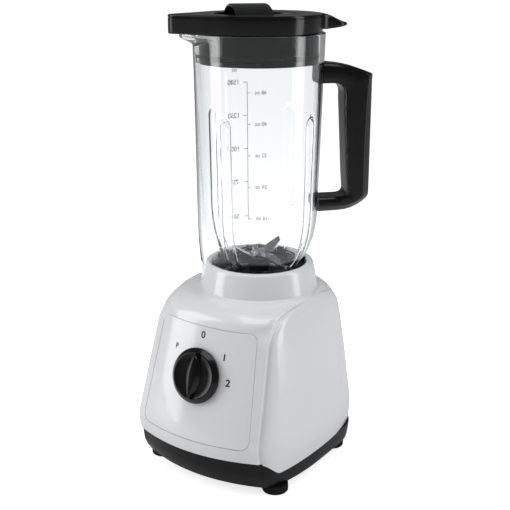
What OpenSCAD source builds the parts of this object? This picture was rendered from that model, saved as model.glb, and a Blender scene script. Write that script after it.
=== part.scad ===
// Countertop blender: motor base, jug with blade unit, lid with measuring cap.
// The origin is on the drive axis, on the plane that the feet stand on. The front faces -Y.

/* [Base] */
// Width of the base at its widest line
base_width = 166; // [150:1:200]
// Reach of the base from the drive axis to its front edge
base_front = 113; // [105:1:136]
// Reach of the base from the drive axis to its back
base_back = 64; // [60:1:80]
// Height of the base's shoulder, where the collar begins
base_height = 161; // [155:1:195]
// Lean of the front face from upright, in degrees
front_lean = 17; // [15:1:20]
// Bow of the front in plan, as the radius of its curve
bow_r = 150; // [130:5:220]
// Width between the two ridges that edge the side cheeks
ridge_width = 128; // [116:1:140]
// Height of the seam between housing and tray at the front
seam_front = 38; // [32:1:44]
// Height of the same seam along the sides and the back
seam_side = 24; // [20:1:28]
// Wall of the housing and the tray
wall = 3; // [2.5:0.1:3.6]
// Height of the feet
foot_height = 7.4; // [5:0.1:10]
// Radius of a foot
foot_r = 11.5; // [10:0.1:13]

/* [Jug seat] */
// Radius of the socket that the jug stands in
socket_r = 43.3; // [42:0.1:52]
// Depth of the socket, from the collar's top edge
socket_depth = 32; // [30:1:38]
// Height of the collar above the base's shoulder
collar_height = 23; // [18:1:27]

/* [Jug] */
// Outer radius of the jug at its rim
jug_rim_r = 57; // [55:0.5:68]
// Outer radius of the jug just above its shoulder
jug_waist_r = 52.4; // [48:0.1:60]
// Outer radius of the jug's neck
jug_neck_r = 37.5; // [35:0.1:38]
// Height of the jug, from its lower edge to its rim
jug_height = 216.5; // [180:0.5:260]
// Wall of the jug at its waist
jug_wall = 2.4; // [2:0.1:3.2]
// Reach of the spout from the axis
spout_reach = 72; // [66:1:86]

/* [Handle] */
// Reach of the handle from the axis
handle_reach = 101; // [92:1:122]
// Height of the handle, from its lowest point to its highest
handle_height = 134; // [112:1:150]
// Thickness of the handle
handle_width = 26; // [20:1:32]

/* [Lid] */
// Height of the lid's band above the jug's rim
lid_height = 16; // [13:0.5:19]
// Depth of the lid's plug below the jug's rim
plug_depth = 25; // [20:1:30]
// Radius of the measuring cap's disc
cap_r = 39.8; // [34:0.1:41]
// Height of the cap's bridge above the lid
bridge_rise = 8; // [7:0.5:10]

/* [Controls] */
// Height of the knob's centre on the front face
knob_z = 104; // [95:1:115]
// Radius of the knob
knob_r = 24; // [20:0.5:28]
// Height of the knob's rim
knob_height = 6; // [5.5:0.5:8]

/* [Drive] */
// Radius of the motor shaft
shaft_r = 4; // [3:0.1:5]
// Radius of the armature
armature_r = 22; // [18:0.5:24]
// Length of the armature and stator stacks
stack_length = 40; // [33:1:48]
// Radius of the drive coupling's star
coupling_r = 13; // [11:0.5:14.5]
// Reach of the blades from the axis
blade_r = 31; // [26:0.5:33]

/* [Fits] */
// Radial clearance of a shaft in its bearing
running_gap = 0.05; // [0.02:0.01:0.09]
// Clearance between parts that lift or turn past each other
lift_gap = 0.4; // [0.3:0.1:0.6]
// Clearance between parts fixed to each other
seat_gap = 0.1; // [0.05:0.05:0.2]

/* [Hidden] */
$fn = 64;
thin = 0.01;
cut = 1;

// Heights of the base
collar_top = base_height + collar_height;
socket_floor = collar_top - socket_depth;
skirt_z = 54;
belt_z = 44;
shoulder_drop = 15;
edge_z = base_height - shoulder_drop;
side_tuck = 3.8;
back_lean = 0.055;
cheek_y = -12;
back_corner_r = 36;
collar_foot_r = socket_r + 10.3;
collar_lip_r = 3.6;

// Panel and knob
panel_depth = 1.5;
panel_gap = 0.25;
panel_bottom = 50;
panel_top = 145;
panel_foot_half = 57;
panel_head_half = 49;
panel_corner_r = 8;
switch_bush_r = 4.6;
spindle_r = 3;
switch_width = 34;
switch_depth = 22;
switch_setback = 1.5;
knob_lift = 0.6;

// Feet and base screws share their axes
foot_x = base_width / 2 - 21;
foot_front = -(base_front - 45);
foot_back = base_back - 32;
foot_places = [[foot_x, foot_front], [-foot_x, foot_front], [foot_x, foot_back], [-foot_x, foot_back]];
tray_floor = foot_height + wall;
boss_r = 5.5;
boss_meet = tray_floor + 6;
screw_r = 1.6;
screw_head_r = 3.4;

// Cord gland in the back wall: a flange inside, a sleeve through the wall
gland_z = 40;
gland_r = 6.5;
gland_flange_r = 9;
gland_inside = 11;
gland_proud = 1.5;
cord_hole_r = 3.6;

// Motor stack, from the tray upwards
motor_screw_x = armature_r + 16.5;
motor_screw_y = 28;
motor_screw_r = 2;
mount_z = tray_floor + 15.6;
mount_height = 5;
lower_z = mount_z + mount_height;
plate = 4;
core_z = lower_z + 31;
core_top = core_z + stack_length;
upper_z = core_top + 10;
air_gap = 0.6;
bearing_r = 9;
bearing_height = 7;
commutator_r = 11;
commutator_z = lower_z + 11;
commutator_height = 12;
fan_r = 30;
tongue_half = 5;
tongue_length = commutator_r + 7;
fan_z = tray_floor + 6;
pole_half = 20;
coil_leg = 10;
coil_x = armature_r + 4;
coil_t = 7;
core_half_x = armature_r + 21;
core_half_y = pole_half + coil_leg + 6;

// Jug stack, from the socket's floor upwards
ring_r = socket_r - lift_gap;
coupling_z = socket_floor + 1.5;
coupling_height = 8.5;
base_plate_z = socket_floor + 12.5;
base_plate_t = 3;
gasket_t = 2;
jug_foot = base_plate_z + base_plate_t + gasket_t;
neck_top = jug_foot + 14.5;
shoulder_height = 49;
shoulder_sweep = 63;
waist_z = neck_top + shoulder_height;
rim_z = jug_foot + jug_height;
jug_neck_in = jug_neck_r - 2.5;
jug_waist_in = jug_waist_r - jug_wall;
jug_rim_in = jug_rim_r - 4.3;
hub_r = 10;
hub_top = neck_top + 2;
blade_z = hub_top + 1.4;
blade_t = 1.6;

// Directions in plan: the spout, the handle and the cap's bridge
spout_turn = 225;
handle_turn = 45;
bridge_turn = -45;

// Lid
lid_top = rim_z + lid_height;
lid_r = jug_rim_r - 2.8;
plug_r = jug_rim_in - 1.5;
plug_wall = 2.2;
nose_r = 8;
nose_reach = spout_reach + 5.5;
tab_reach = 77;
tab_width = 28;
seal_z = rim_z - plug_depth + 4;
seal_height = 4;
cap_seat = lid_top - 2.5;
skirt_r = cap_r - 6.5;
skirt_depth = 24;
well_depth = 12;
bridge_width = 32;
cap_offset = 9;

// Interlock pin, behind the drive
pin_y = socket_r - 6.8;
pin_r = 2.5;
pin_rise = 3;
guide_depth = 36;
guide_x = 13.2;

function arc(c, r, from, to, n) = [for (i = [0:n]) c + r * [cos(from + (to - from) * i / n),
                                                            sin(from + (to - from) * i / n)]];
function unit(v) = v / norm(v);
// Rounds the corner b of a path a, b, c with an arc of radius r
function corner(a, b, c, r, n) =
    let (u = unit(a - b), w = unit(c - b), half = acos(u * w) / 2, reach = r / tan(half))
    let (o = b + unit(u + w) * r / sin(half), s = b + u * reach - o, e = b + w * reach - o)
    let (side = unit(e - s * (e * s) / (r * r)) * r, sweep = 180 - 2 * half)
    [for (i = [0:n]) o + s * cos(sweep * i / n) + side * sin(sweep * i / n)];
// A closed outline with each corner rounded by its own radius
function rounded(pts, radii, n = 5) =
    [for (i = [0:len(pts) - 1]) let (k = len(pts))
        each corner(pts[(i + k - 1) % k], pts[i], pts[(i + 1) % k], radii[i], n)];

// ---- Base shape ----

function front_at(z) = 1 - base_front + max(0, z - skirt_z) * tan(front_lean);
function back_at(z) = base_back - max(0, z - belt_z) * back_lean;
// Half of a plan outline: bowed front, ridge, cheek, back corner
function half_plan(front, ridge, half, back) =
    let (ridge_y = front + ridge * ridge / (2 * bow_r), r = min(back_corner_r, half - 10))
    concat(
        [for (i = [0:4]) [ridge * i / 4, front + pow(ridge * i / 4, 2) / (2 * bow_r)]],
        [for (t = [22.5:22.5:90]) [ridge + (half - ridge) * sin(t),
                                   ridge_y + (cheek_y - ridge_y) * (1 - cos(t))]],
        arc([half - r, back - r], r, 0, 90, 5));
function mirrored(pts) = concat(pts, [for (i = [len(pts) - 1:-1:1]) [-pts[i][0], pts[i][1]]]);

// One thin slice of the base; inset pulls it inwards on every side
module slice(z, front, ridge, half, back, inset)
    translate([0, 0, z])
        linear_extrude(thin)
            polygon(mirrored(half_plan(front + inset, ridge - inset, half - inset, back - inset)));

// The convex body of the base, from the side seam to the shoulder
module base_body(inset) {
    half = base_width / 2;
    ridge = ridge_width / 2;
    top = ridge + 1.5;
    hull() {
        slice(seam_side - cut - 2 * inset, 4 - base_front, ridge,
              half - side_tuck, base_back - 1, inset);
        slice(belt_z, -base_front, ridge, half, base_back, inset);
        slice(skirt_z, front_at(skirt_z), ridge - 0.5, half - 1, back_at(skirt_z), inset);
        slice((skirt_z + edge_z) / 2, front_at((skirt_z + edge_z) / 2), ridge - 4,
              (half + top) / 2 + 1, back_at(100), inset);
        slice(edge_z, front_at(edge_z), ridge - 6, top + 1, back_at(edge_z), inset);
        slice(base_height - 5 - inset, front_at(edge_z) + 10, ridge - 5, top, back_at(edge_z) - 4, inset);
        slice(base_height - thin - inset, front_at(edge_z) + 20, ridge - 9, top - 4,
              back_at(edge_z) - 9, inset);
    }
}

// Everything below the seam: high at the front, dropping in an S at the front corners
module below_seam() {
    rise = seam_front - seam_side;
    front_end = 18 - base_front;
    side_start = 36 - base_front;
    far = 2 * base_front;
    rotate([90, 0, 90])
        linear_extrude(2 * base_width, center = true)
            polygon(concat(
                [[-far, -far], [-far, seam_front]],
                [for (i = [0:8]) [front_end + (side_start - front_end) * i / 8,
                                  seam_side + rise * (1 + cos(180 * i / 8)) / 2]],
                [[far, seam_side], [far, -far]]));
}

// Places children on the front face at the knob's centre, with +Z straight out of it
module on_panel()
    translate([0, front_at(knob_z), knob_z])
        rotate([90 - front_lean, 0, 0])
            children();

function panel_v(z) = (z - knob_z) / cos(front_lean);
module panel_prism(grow)
    on_panel()
        translate([0, 0, -20])
            linear_extrude(40)
                polygon(rounded([[-panel_foot_half - grow, panel_v(panel_bottom) - grow],
                                 [panel_foot_half + grow, panel_v(panel_bottom) - grow],
                                 [panel_head_half + grow, panel_v(panel_top) + grow],
                                 [-panel_head_half - grow, panel_v(panel_top) + grow]],
                                [for (i = [0:3]) panel_corner_r + grow]));

module collar_outside()
    rotate_extrude()
        polygon(concat(
            [[0, base_height - 2 * wall], [collar_foot_r + 1, base_height - 2 * wall],
             [collar_foot_r, base_height - thin]],
            [[socket_r + 6.4, collar_top - 6]],
            arc([socket_r + collar_lip_r - 0.8, collar_top - collar_lip_r], collar_lip_r, 40, 90, 3),
            [[0, collar_top]]));

module socket_outside()
    translate([0, 0, socket_floor - wall])
        cylinder(h = base_height - socket_floor + wall, r = socket_r + wall);

module housing_screw_post(place) {
    side = place[0] > 0 ? 1 : -1;
    translate([place[0], place[1], boss_meet])
        cylinder(h = 50, r = boss_r);
    translate([place[0] + side * 8, place[1], boss_meet + 36])
        cube([20, 3, 28], center = true);
}

module housing()
    color([0.93, 0.93, 0.93])
        difference() {
            union() {
                difference() {
                    base_body(0);
                    difference() {
                        base_body(wall);
                        socket_outside();
                    }
                    below_seam();
                }
                collar_outside();
                intersection() {
                    base_body(wall / 2);
                    union() {
                        for (p = foot_places)
                            housing_screw_post(p);
                        for (side = [-1, 1])
                            translate([side * guide_x, pin_y, socket_floor - guide_depth / 2 - wall])
                                cube([4, 8, guide_depth], center = true);
                        translate([0, base_back - 8, gland_z])
                            rotate([-90, 0, 0])
                                cylinder(h = 8, r = gland_flange_r + 2);
                    }
                }
            }
            translate([0, 0, socket_floor])
                cylinder(h = socket_depth + cut, r = socket_r);
            translate([0, 0, socket_floor - wall - cut])
                cylinder(h = wall + 2 * cut, r = coupling_r - 4);
            translate([0, pin_y, socket_floor - wall - cut])
                cylinder(h = wall + 2 * cut, r = pin_r + 0.3);
            for (p = foot_places)
                translate([p[0], p[1], boss_meet - cut])
                    cylinder(h = 18 + cut, r = screw_r);
            intersection() {
                panel_prism(panel_gap);
                difference() {
                    base_body(-cut);
                    base_body(panel_depth);
                }
            }
            on_panel()
                translate([0, 0, -2 * wall])
                    cylinder(h = 2 * wall, r = switch_bush_r + seat_gap);
            translate([0, base_back - 20, gland_z])
                rotate([-90, 0, 0])
                    cylinder(h = 24, r = gland_r);
        }

module control_panel()
    color([0.9, 0.9, 0.9])
        difference() {
            intersection() {
                panel_prism(0);
                difference() {
                    base_body(0);
                    base_body(panel_depth);
                }
            }
            on_panel()
                translate([0, 0, -2 * wall])
                    cylinder(h = 3 * wall, r = 8.2);
        }

module tray_body(inset) {
    half = base_width / 2;
    ridge = ridge_width / 2;
    low = foot_height + (inset > 0 ? wall : 0);
    hull() {
        slice(seam_front + 2, 2 - base_front, ridge - 1, half - 2, base_back - 2, inset);
        slice(seam_side, 6 - base_front, ridge - 2, half - side_tuck - 1, base_back - 2, inset);
        slice(low + 3, 15 - base_front, ridge - 5, half - side_tuck - 2, base_back - 4, inset);
        slice(low, 18.5 - base_front, ridge - 7, half - side_tuck - 4.5, base_back - 7, inset);
    }
}

module base_tray()
    color([0.07, 0.07, 0.07])
        difference() {
            union() {
                difference() {
                    intersection() {
                        tray_body(0);
                        below_seam();
                    }
                    tray_body(wall);
                }
                for (p = foot_places)
                    translate([p[0], p[1], foot_height])
                        cylinder(h = boss_meet - foot_height, r = boss_r + 1);
                for (x = [-1, 1], y = [-1, 1])
                    translate([x * motor_screw_x, y * motor_screw_y, foot_height])
                        cylinder(h = mount_z - foot_height, r = 5.5);
            }
            for (p = foot_places)
                translate([p[0], p[1], foot_height - cut]) {
                    cylinder(h = boss_meet, r = screw_r + 0.3);
                    cylinder(h = 4 + cut, r = screw_head_r + 0.4);
                }
            for (x = [-1, 1], y = [-1, 1])
                translate([x * motor_screw_x, y * motor_screw_y, mount_z - 12])
                    cylinder(h = 12 + cut, r = motor_screw_r);
            for (x = [-24:8:24])
                translate([x - 2, -26, foot_height - cut])
                    cube([4, 52, wall + 2 * cut]);
        }

module feet()
    color([0.05, 0.05, 0.05])
        for (p = foot_places)
            translate([p[0], p[1], 0])
                difference() {
                    rotate_extrude()
                        polygon([[0, 0], [foot_r - 1, 0], [foot_r, 1],
                                 [foot_r, foot_height], [0, foot_height]]);
                    translate([0, 0, foot_height - 3])
                        cylinder(h = 3 + cut, r = screw_head_r + 1);
                }

module cross_screw(length, r, head_r, head_t) {
    difference() {
        cylinder(h = head_t, r = head_r);
        translate([0, 0, -cut]) {
            translate([-0.5, -head_r * 0.6, 0])
                cube([1, head_r * 1.2, cut + head_t * 0.5]);
            translate([-head_r * 0.6, -0.5, 0])
                cube([head_r * 1.2, 1, cut + head_t * 0.5]);
        }
    }
    translate([0, 0, head_t])
        cylinder(h = length, r = r - running_gap);
}

module base_screws()
    color("silver")
        for (p = foot_places)
            translate([p[0], p[1], foot_height + 1.6])
                cross_screw(boss_meet - foot_height + 10, screw_r, screw_head_r, 2.4);

module cord_gland()
    color([0.05, 0.05, 0.05])
        translate([0, base_back - gland_inside, gland_z])
            rotate([-90, 0, 0])
                difference() {
                    union() {
                        cylinder(h = gland_inside + gland_proud, r = gland_r - seat_gap);
                        cylinder(h = gland_inside - 8 - seat_gap, r = gland_flange_r);
                    }
                    translate([0, 0, -cut])
                        cylinder(h = gland_inside + gland_proud + 2 * cut, r = cord_hole_r);
                }

// ---- Controls ----

module switch_body()
    color([0.85, 0.84, 0.8])
        on_panel()
            difference() {
                union() {
                    translate([-switch_width / 2, -switch_width / 2 + 3,
                               -wall - switch_setback - switch_depth])
                        cube([switch_width, switch_width - 6, switch_depth]);
                    translate([0, 0, -wall - switch_setback - cut])
                        cylinder(h = switch_setback + cut - 2 * seat_gap, r = 7);
                    translate([0, 0, -wall - 1])
                        cylinder(h = wall + 4, r = switch_bush_r);
                }
                translate([0, 0, -wall - switch_depth])
                    cylinder(h = wall + switch_depth + 6, r = spindle_r + running_gap);
            }

module switch_nut()
    color("silver")
        on_panel()
            translate([0, 0, -panel_depth + seat_gap])
                difference() {
                    cylinder(h = 2.4, r = 7.6, $fn = 6);
                    translate([0, 0, -cut])
                        cylinder(h = 5, r = switch_bush_r + running_gap);
                }

module switch_spindle()
    color("silver")
        on_panel()
            translate([0, 0, -wall - 17])
                difference() {
                    cylinder(h = wall + 17 + knob_height + 1, r = spindle_r);
                    translate([-spindle_r, 1.8, wall + 17 + 4])
                        cube([2 * spindle_r, 2, 10]);
                }

// The knob: a round skirt, a dished face and a lens-shaped grip bar
module knob()
    color([0.05, 0.05, 0.05])
        on_panel()
            difference() {
                union() {
                    rotate_extrude()
                        polygon([[0, knob_lift], [knob_r, knob_lift], [knob_r, knob_height - 3.2],
                                 [knob_r - 3.6, knob_height], [knob_r - 4.8, knob_height - 0.5],
                                 [0, knob_height - 1.2]]);
                    intersection() {
                        translate([knob_r * 1.6, 0, 0])
                            cylinder(h = knob_height + 3.5, r = knob_r * 1.9);
                        translate([-knob_r * 1.6, 0, 0])
                            cylinder(h = knob_height + 3.5, r = knob_r * 1.9);
                        cylinder(h = knob_height + 3.5, r = knob_r - 4);
                        translate([0, 0, knob_lift])
                            cylinder(h = knob_height + 3.5, r = knob_r - 1);
                    }
                }
                translate([0, 0, -cut])
                    cylinder(h = cut + knob_height - 2.8, r = knob_r - 4.2);
                cylinder(h = knob_height + 1.4, r = spindle_r + seat_gap / 2);
            }

module interlock_pin()
    color([0.9, 0.9, 0.88])
        translate([0, pin_y, 0]) {
            translate([0, 0, socket_floor - 22])
                cylinder(h = 22 + pin_rise, r = pin_r);
            translate([0, 0, socket_floor - wall - 2.5])
                cylinder(h = 2, r = 4.4);
        }

// Coil spring swept as one tube along a helix
module interlock_spring() {
    spring_foot = socket_floor - 20;
    pitch_height = socket_floor - wall - 3.2 - spring_foot;
    turns = 5;
    rings = 60;
    sides = 6;
    coil_r = 3.6;
    wire_r = 0.4;
    function ring_point(i, k) =
        let (turn = 360 * turns * i / rings, lift = 360 * k / sides)
        [(coil_r + wire_r * cos(lift)) * cos(turn), (coil_r + wire_r * cos(lift)) * sin(turn),
         wire_r * (1 + sin(lift)) + pitch_height * i / rings];
    color("silver")
        translate([0, pin_y, spring_foot])
            polyhedron(
                points = [for (i = [0:rings], k = [0:sides - 1]) ring_point(i, k)],
                faces = concat(
                    [[for (k = [0:sides - 1]) k]],
                    [for (i = [0:rings - 1], k = [0:sides - 1])
                        let (a = i * sides + k, b = i * sides + (k + 1) % sides)
                        [a, a + sides, b + sides, b]],
                    [[for (k = [sides - 1:-1:0]) rings * sides + k]]));
}

module interlock_switch()
    color([0.1, 0.1, 0.12])
        translate([0, pin_y, 0])
            difference() {
                union() {
                    translate([-11, -5, socket_floor - 36])
                        cube([22, 10, 11]);
                    translate([-11, -5, socket_floor - 25])
                        cube([22, 10, 4.9]);
                }
                translate([0, 0, socket_floor - 26])
                    cylinder(h = 8, r = pin_r + 0.3);
            }

// ---- Motor ----

module stator_core()
    color([0.45, 0.45, 0.47])
        translate([0, 0, core_z])
            difference() {
                translate([-core_half_x, -core_half_y, 0])
                    cube([2 * core_half_x, 2 * core_half_y, stack_length]);
                translate([0, 0, -cut])
                    cylinder(h = stack_length + 2 * cut, r = armature_r + air_gap);
                for (x = [-1, 1], y = [-1, 1]) {
                    translate([x * (coil_x + coil_t / 2), y * (pole_half + coil_leg / 2),
                               stack_length / 2])
                        cube([coil_t + 0.4, coil_leg + 0.4, stack_length + 2 * cut], center = true);
                    translate([x * motor_screw_x, y * motor_screw_y, -cut])
                        cylinder(h = stack_length + 2 * cut, r = motor_screw_r + 0.2);
                }
                for (y = [-1, 1])
                    translate([0, y * (pole_half + 4), stack_length / 2])
                        cube([2 * coil_x, 12, stack_length + 2 * cut], center = true);
            }

module field_coils()
    color([0.7, 0.36, 0.16])
        for (x = [-1, 1])
            translate([x * (coil_x + coil_t / 2), 0, core_z + stack_length / 2])
                difference() {
                    cube([coil_t, 2 * (pole_half + coil_leg), stack_length + 16], center = true);
                    cube([coil_t + cut, 2 * pole_half + 0.1, stack_length + 0.1], center = true);
                }

module bracket_plate() {
    difference() {
        union() {
            translate([-motor_screw_x - 6, -10, 0])
                cube([2 * motor_screw_x + 12, 20, plate]);
            for (x = [-1, 1])
                translate([x * motor_screw_x - 6, -motor_screw_y - 6, 0])
                    cube([12, 2 * motor_screw_y + 12, plate]);
            cylinder(h = bearing_height + 1, r = bearing_r + 2.5);
        }
        translate([0, 0, -cut])
            cylinder(h = bearing_height + 3 * cut, r = bearing_r + seat_gap / 2);
        for (x = [-1, 1], y = [-1, 1])
            translate([x * motor_screw_x, y * motor_screw_y, -cut])
                cylinder(h = plate + 2 * cut, r = motor_screw_r + 0.2);
    }
}

module bracket_leg(z, height)
    for (x = [-1, 1], y = [-1, 1])
        translate([x * motor_screw_x, y * motor_screw_y, z])
            difference() {
                cylinder(h = height, r = 4.4);
                translate([0, 0, -cut])
                    cylinder(h = height + 2 * cut, r = motor_screw_r + 0.2);
            }

module upper_bracket()
    color("silver") {
        translate([0, 0, upper_z])
            bracket_plate();
        bracket_leg(core_top, upper_z - core_top);
    }

module lower_bracket()
    color("silver") {
        translate([0, 0, lower_z])
            bracket_plate();
        for (y = [-1, 1])
            translate([-tongue_half, y * (bearing_r + 1 + tongue_length / 2) - tongue_length / 2, lower_z])
                cube([2 * tongue_half, tongue_length, plate]);
        bracket_leg(lower_z + plate, core_z - lower_z - plate);
    }

module motor_bearings()
    color([0.75, 0.6, 0.3])
        for (z = [lower_z, upper_z])
            translate([0, 0, z])
                difference() {
                    cylinder(h = bearing_height, r = bearing_r);
                    translate([0, 0, -cut])
                        cylinder(h = bearing_height + 2 * cut, r = shaft_r + running_gap);
                }

module motor_screws()
    color([0.3, 0.3, 0.32])
        for (x = [-1, 1], y = [-1, 1])
            translate([x * motor_screw_x, y * motor_screw_y, upper_z + plate + 3])
                rotate([180, 0, 0])
                    cross_screw(upper_z + plate - mount_z + 8, motor_screw_r, 4, 3);

module motor_mounts()
    color([0.08, 0.08, 0.08])
        for (x = [-1, 1], y = [-1, 1])
            translate([x * motor_screw_x, y * motor_screw_y, mount_z])
                difference() {
                    cylinder(h = mount_height, r = 6);
                    translate([0, 0, -cut])
                        cylinder(h = mount_height + 2 * cut, r = motor_screw_r + 0.2);
                }

module brush_holders()
    color([0.55, 0.3, 0.12])
        for (y = [-1, 1])
            translate([0, y * (commutator_r + 11), 0])
                difference() {
                    union() {
                        translate([-5, -8, commutator_z])
                            cube([10, 16, commutator_height - 2]);
                        translate([-4, -3, lower_z + plate])
                            cube([8, 6, commutator_z - lower_z - plate]);
                    }
                    translate([-3.1, -8 - cut, commutator_z + 2.4])
                        cube([6.2, 16 + 2 * cut, 5.2]);
                }

module brushes()
    color([0.15, 0.15, 0.15])
        difference() {
            for (y = [-1, 1])
                translate([-3, y > 0 ? commutator_r - 1 : -commutator_r - 15, commutator_z + 2.5])
                    cube([6, 16, 5]);
            translate([0, 0, commutator_z])
                cylinder(h = commutator_height, r = commutator_r + running_gap);
        }

module motor_shaft()
    color("silver")
        translate([0, 0, fan_z - 2])
            cylinder(h = coupling_z + coupling_height - 2 - fan_z, r = shaft_r);

module armature_core()
    color([0.5, 0.5, 0.52])
        translate([0, 0, core_z])
            difference() {
                cylinder(h = stack_length, r = armature_r);
                translate([0, 0, -cut])
                    cylinder(h = stack_length + 2 * cut, r = shaft_r);
                for (a = [0:30:330])
                    rotate([0, 0, a]) {
                        translate([armature_r - 5, 0, -cut])
                            cylinder(h = stack_length + 2 * cut, r = 2.4, $fn = 24);
                        translate([armature_r - 4, -0.9, -cut])
                            cube([5, 1.8, stack_length + 2 * cut]);
                    }
            }

module armature_windings()
    color([0.72, 0.38, 0.17]) {
        for (z = [core_z - 7, core_top + 0.02])
            translate([0, 0, z])
                difference() {
                    cylinder(h = 7 - 0.02, r = armature_r - 2.2);
                    translate([0, 0, -cut])
                        cylinder(h = 7 + 2 * cut, r = shaft_r + 3);
                }
        for (a = [0:30:330])
            rotate([0, 0, a])
                translate([armature_r - 5, 0, core_z - 0.5])
                    cylinder(h = stack_length + 1, r = 2.2, $fn = 24);
    }

module commutator()
    color([0.8, 0.5, 0.25])
        translate([0, 0, commutator_z])
            difference() {
                cylinder(h = commutator_height, r = commutator_r);
                translate([0, 0, -cut])
                    cylinder(h = commutator_height + 2 * cut, r = shaft_r);
                for (a = [0:15:165])
                    rotate([0, 0, a])
                        translate([-commutator_r - cut, -0.25, -cut])
                            difference() {
                                cube([2 * commutator_r + 2 * cut, 0.5, commutator_height + 2 * cut]);
                                translate([4, -cut, -cut])
                                    cube([2 * commutator_r - 6, 3, commutator_height + 4 * cut]);
                            }
            }

module fan()
    color([0.15, 0.15, 0.16])
        translate([0, 0, fan_z])
            difference() {
                union() {
                    cylinder(h = 10, r = 9);
                    cylinder(h = 1.6, r = fan_r);
                    for (a = [0:40:320])
                        rotate([0, 0, a])
                            translate([6, -0.8, 0])
                                rotate([0, 0, 14])
                                    cube([fan_r - 8, 1.6, 9]);
                }
                translate([0, 0, -cut])
                    cylinder(h = 12 + 2 * cut, r = shaft_r);
            }

// Six-toothed star shared by both halves of the coupling
module star(grow, height)
    linear_extrude(height)
        union() {
            circle(coupling_r - 3.5 + grow);
            for (a = [0:60:300])
                rotate(a)
                    translate([0, -2 - grow])
                        square([coupling_r + grow, 4 + 2 * grow]);
        }

module drive_coupling()
    color([0.12, 0.12, 0.12])
        translate([0, 0, coupling_z])
            difference() {
                star(0, coupling_height);
                translate([0, 0, -cut])
                    cylinder(h = coupling_height - 2 + cut, r = shaft_r);
            }

// ---- Jug ----

function jug_shoulder(waist, neck) =
    let (a = (waist - neck) / (1 - cos(shoulder_sweep)), b = shoulder_height / sin(shoulder_sweep))
    [for (i = [8:-1:0]) [waist - a * (1 - cos(shoulder_sweep * i / 8)),
                         waist_z - b * sin(shoulder_sweep * i / 8)]];
function jug_in_at(z) = jug_waist_in + (jug_rim_in - jug_waist_in) * (z - waist_z) / (rim_z - waist_z);

// The jug's outside as a solid of revolution; grow widens it for fits
module jug_outside(grow)
    rotate_extrude()
        polygon(concat(
            [[0, jug_foot - grow], [jug_neck_r + grow, jug_foot - grow]],
            [for (p = jug_shoulder(jug_waist_r, jug_neck_r)) p + [grow, 0]],
            [[jug_rim_r + grow, rim_z + grow], [0, rim_z + grow]]));

module jug_inside()
    rotate_extrude()
        polygon(concat(
            [[0, jug_foot - cut], [jug_neck_in, jug_foot - cut]],
            jug_shoulder(jug_waist_in, jug_neck_in),
            [[jug_rim_in, rim_z], [jug_rim_in, rim_z + cut], [0, rim_z + cut]]));

// Wedge of the spout, between its sloping floor and the rim
module spout(inset) {
    floor_z = rim_z - 10.3 + inset;
    root_r = jug_rim_r - 0.5;
    slope = (spout_reach - jug_rim_r) / 9;
    top = inset > 0 ? cut : 0;
    mouth = 41;
    intersection() {
        translate([0, 0, floor_z])
            cylinder(h = rim_z - floor_z + top, r1 = root_r,
                     r2 = root_r + slope * (rim_z - floor_z + top));
        rotate([0, 0, spout_turn])
            translate([0, 0, floor_z])
                linear_extrude(rim_z - floor_z + top)
                    polygon([[30, 0], [root_r * cos(mouth), -root_r * sin(mouth) + inset],
                             [spout_reach - 6, -6 + inset * 0.7],
                             [spout_reach - 1.5 - inset, -3.5 + inset * 0.7],
                             [spout_reach - inset, 0],
                             [spout_reach - 1.5 - inset, 3.5 - inset * 0.7],
                             [spout_reach - 6, 6 - inset * 0.7],
                             [root_r * cos(mouth), root_r * sin(mouth) - inset]]);
    }
}

// Inverted-U ribs that stand inwards from the wall
module jug_ribs() {
    rib_top = rim_z - 69;
    rib_half = 6;
    intersection() {
        difference() {
            jug_outside(-0.3);
            rotate_extrude()
                polygon(concat(
                    [[0, jug_foot - cut], [jug_neck_in - 1.4, jug_foot - cut]],
                    [for (p = jug_shoulder(jug_waist_in, jug_neck_in)) p - [1.4, 0]],
                    [[jug_rim_in - 1.4, rim_z], [jug_rim_in - 1.4, rim_z + cut], [0, rim_z + cut]]));
        }
        for (a = [0:90:270])
            rotate([0, 0, a])
                difference() {
                    union() {
                        translate([0, -rib_half, neck_top + 2])
                            cube([jug_rim_r, 2 * rib_half, rib_top - rib_half - neck_top - 2]);
                        translate([0, 0, rib_top - rib_half])
                            rotate([0, 90, 0])
                                cylinder(h = jug_rim_r, r = rib_half);
                    }
                    translate([-cut, -rib_half + 2, neck_top])
                        cube([jug_rim_r + 2 * cut, 2 * rib_half - 4, rib_top - rib_half - neck_top]);
                    translate([-cut, 0, rib_top - rib_half])
                        rotate([0, 90, 0])
                            cylinder(h = jug_rim_r + 2 * cut, r = rib_half - 2);
                }
    }
}

// Heights of the handle's arms
handle_top = rim_z - 25;
handle_foot = handle_top - handle_height;
// Each boss that the handle is screwed to, as height of its middle and reach past the waist's radius
bosses = [[handle_top - 10, 12], [handle_foot + 8, 9]];
boss_half = 5;
boss_half_height = 3;
screw_inset = 5;
handle_wall = 2.5;
handle_screw_r = 1.4;
handle_head_t = 1.9;

module handle_bosses(grow)
    rotate([0, 0, handle_turn])
        for (b = bosses)
            translate([jug_waist_r - 2, -boss_half - grow, b[0] - boss_half_height - grow])
                cube([b[1] + grow, 2 * boss_half + 2 * grow, 2 * (boss_half_height + grow)]);

module handle_screw_holes(r)
    rotate([0, 0, handle_turn])
        for (b = bosses)
            translate([jug_waist_r + b[1] - screw_inset, 0, b[0] - 7])
                cylinder(h = 10, r = r);

module jug()
    color([0.85, 0.9, 0.92, 0.35])
        difference() {
            union() {
                difference() {
                    union() {
                        jug_outside(0);
                        spout(0);
                        handle_bosses(0);
                    }
                    jug_inside();
                    spout(2.2);
                }
                jug_ribs();
            }
            handle_screw_holes(handle_screw_r);
        }

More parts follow.
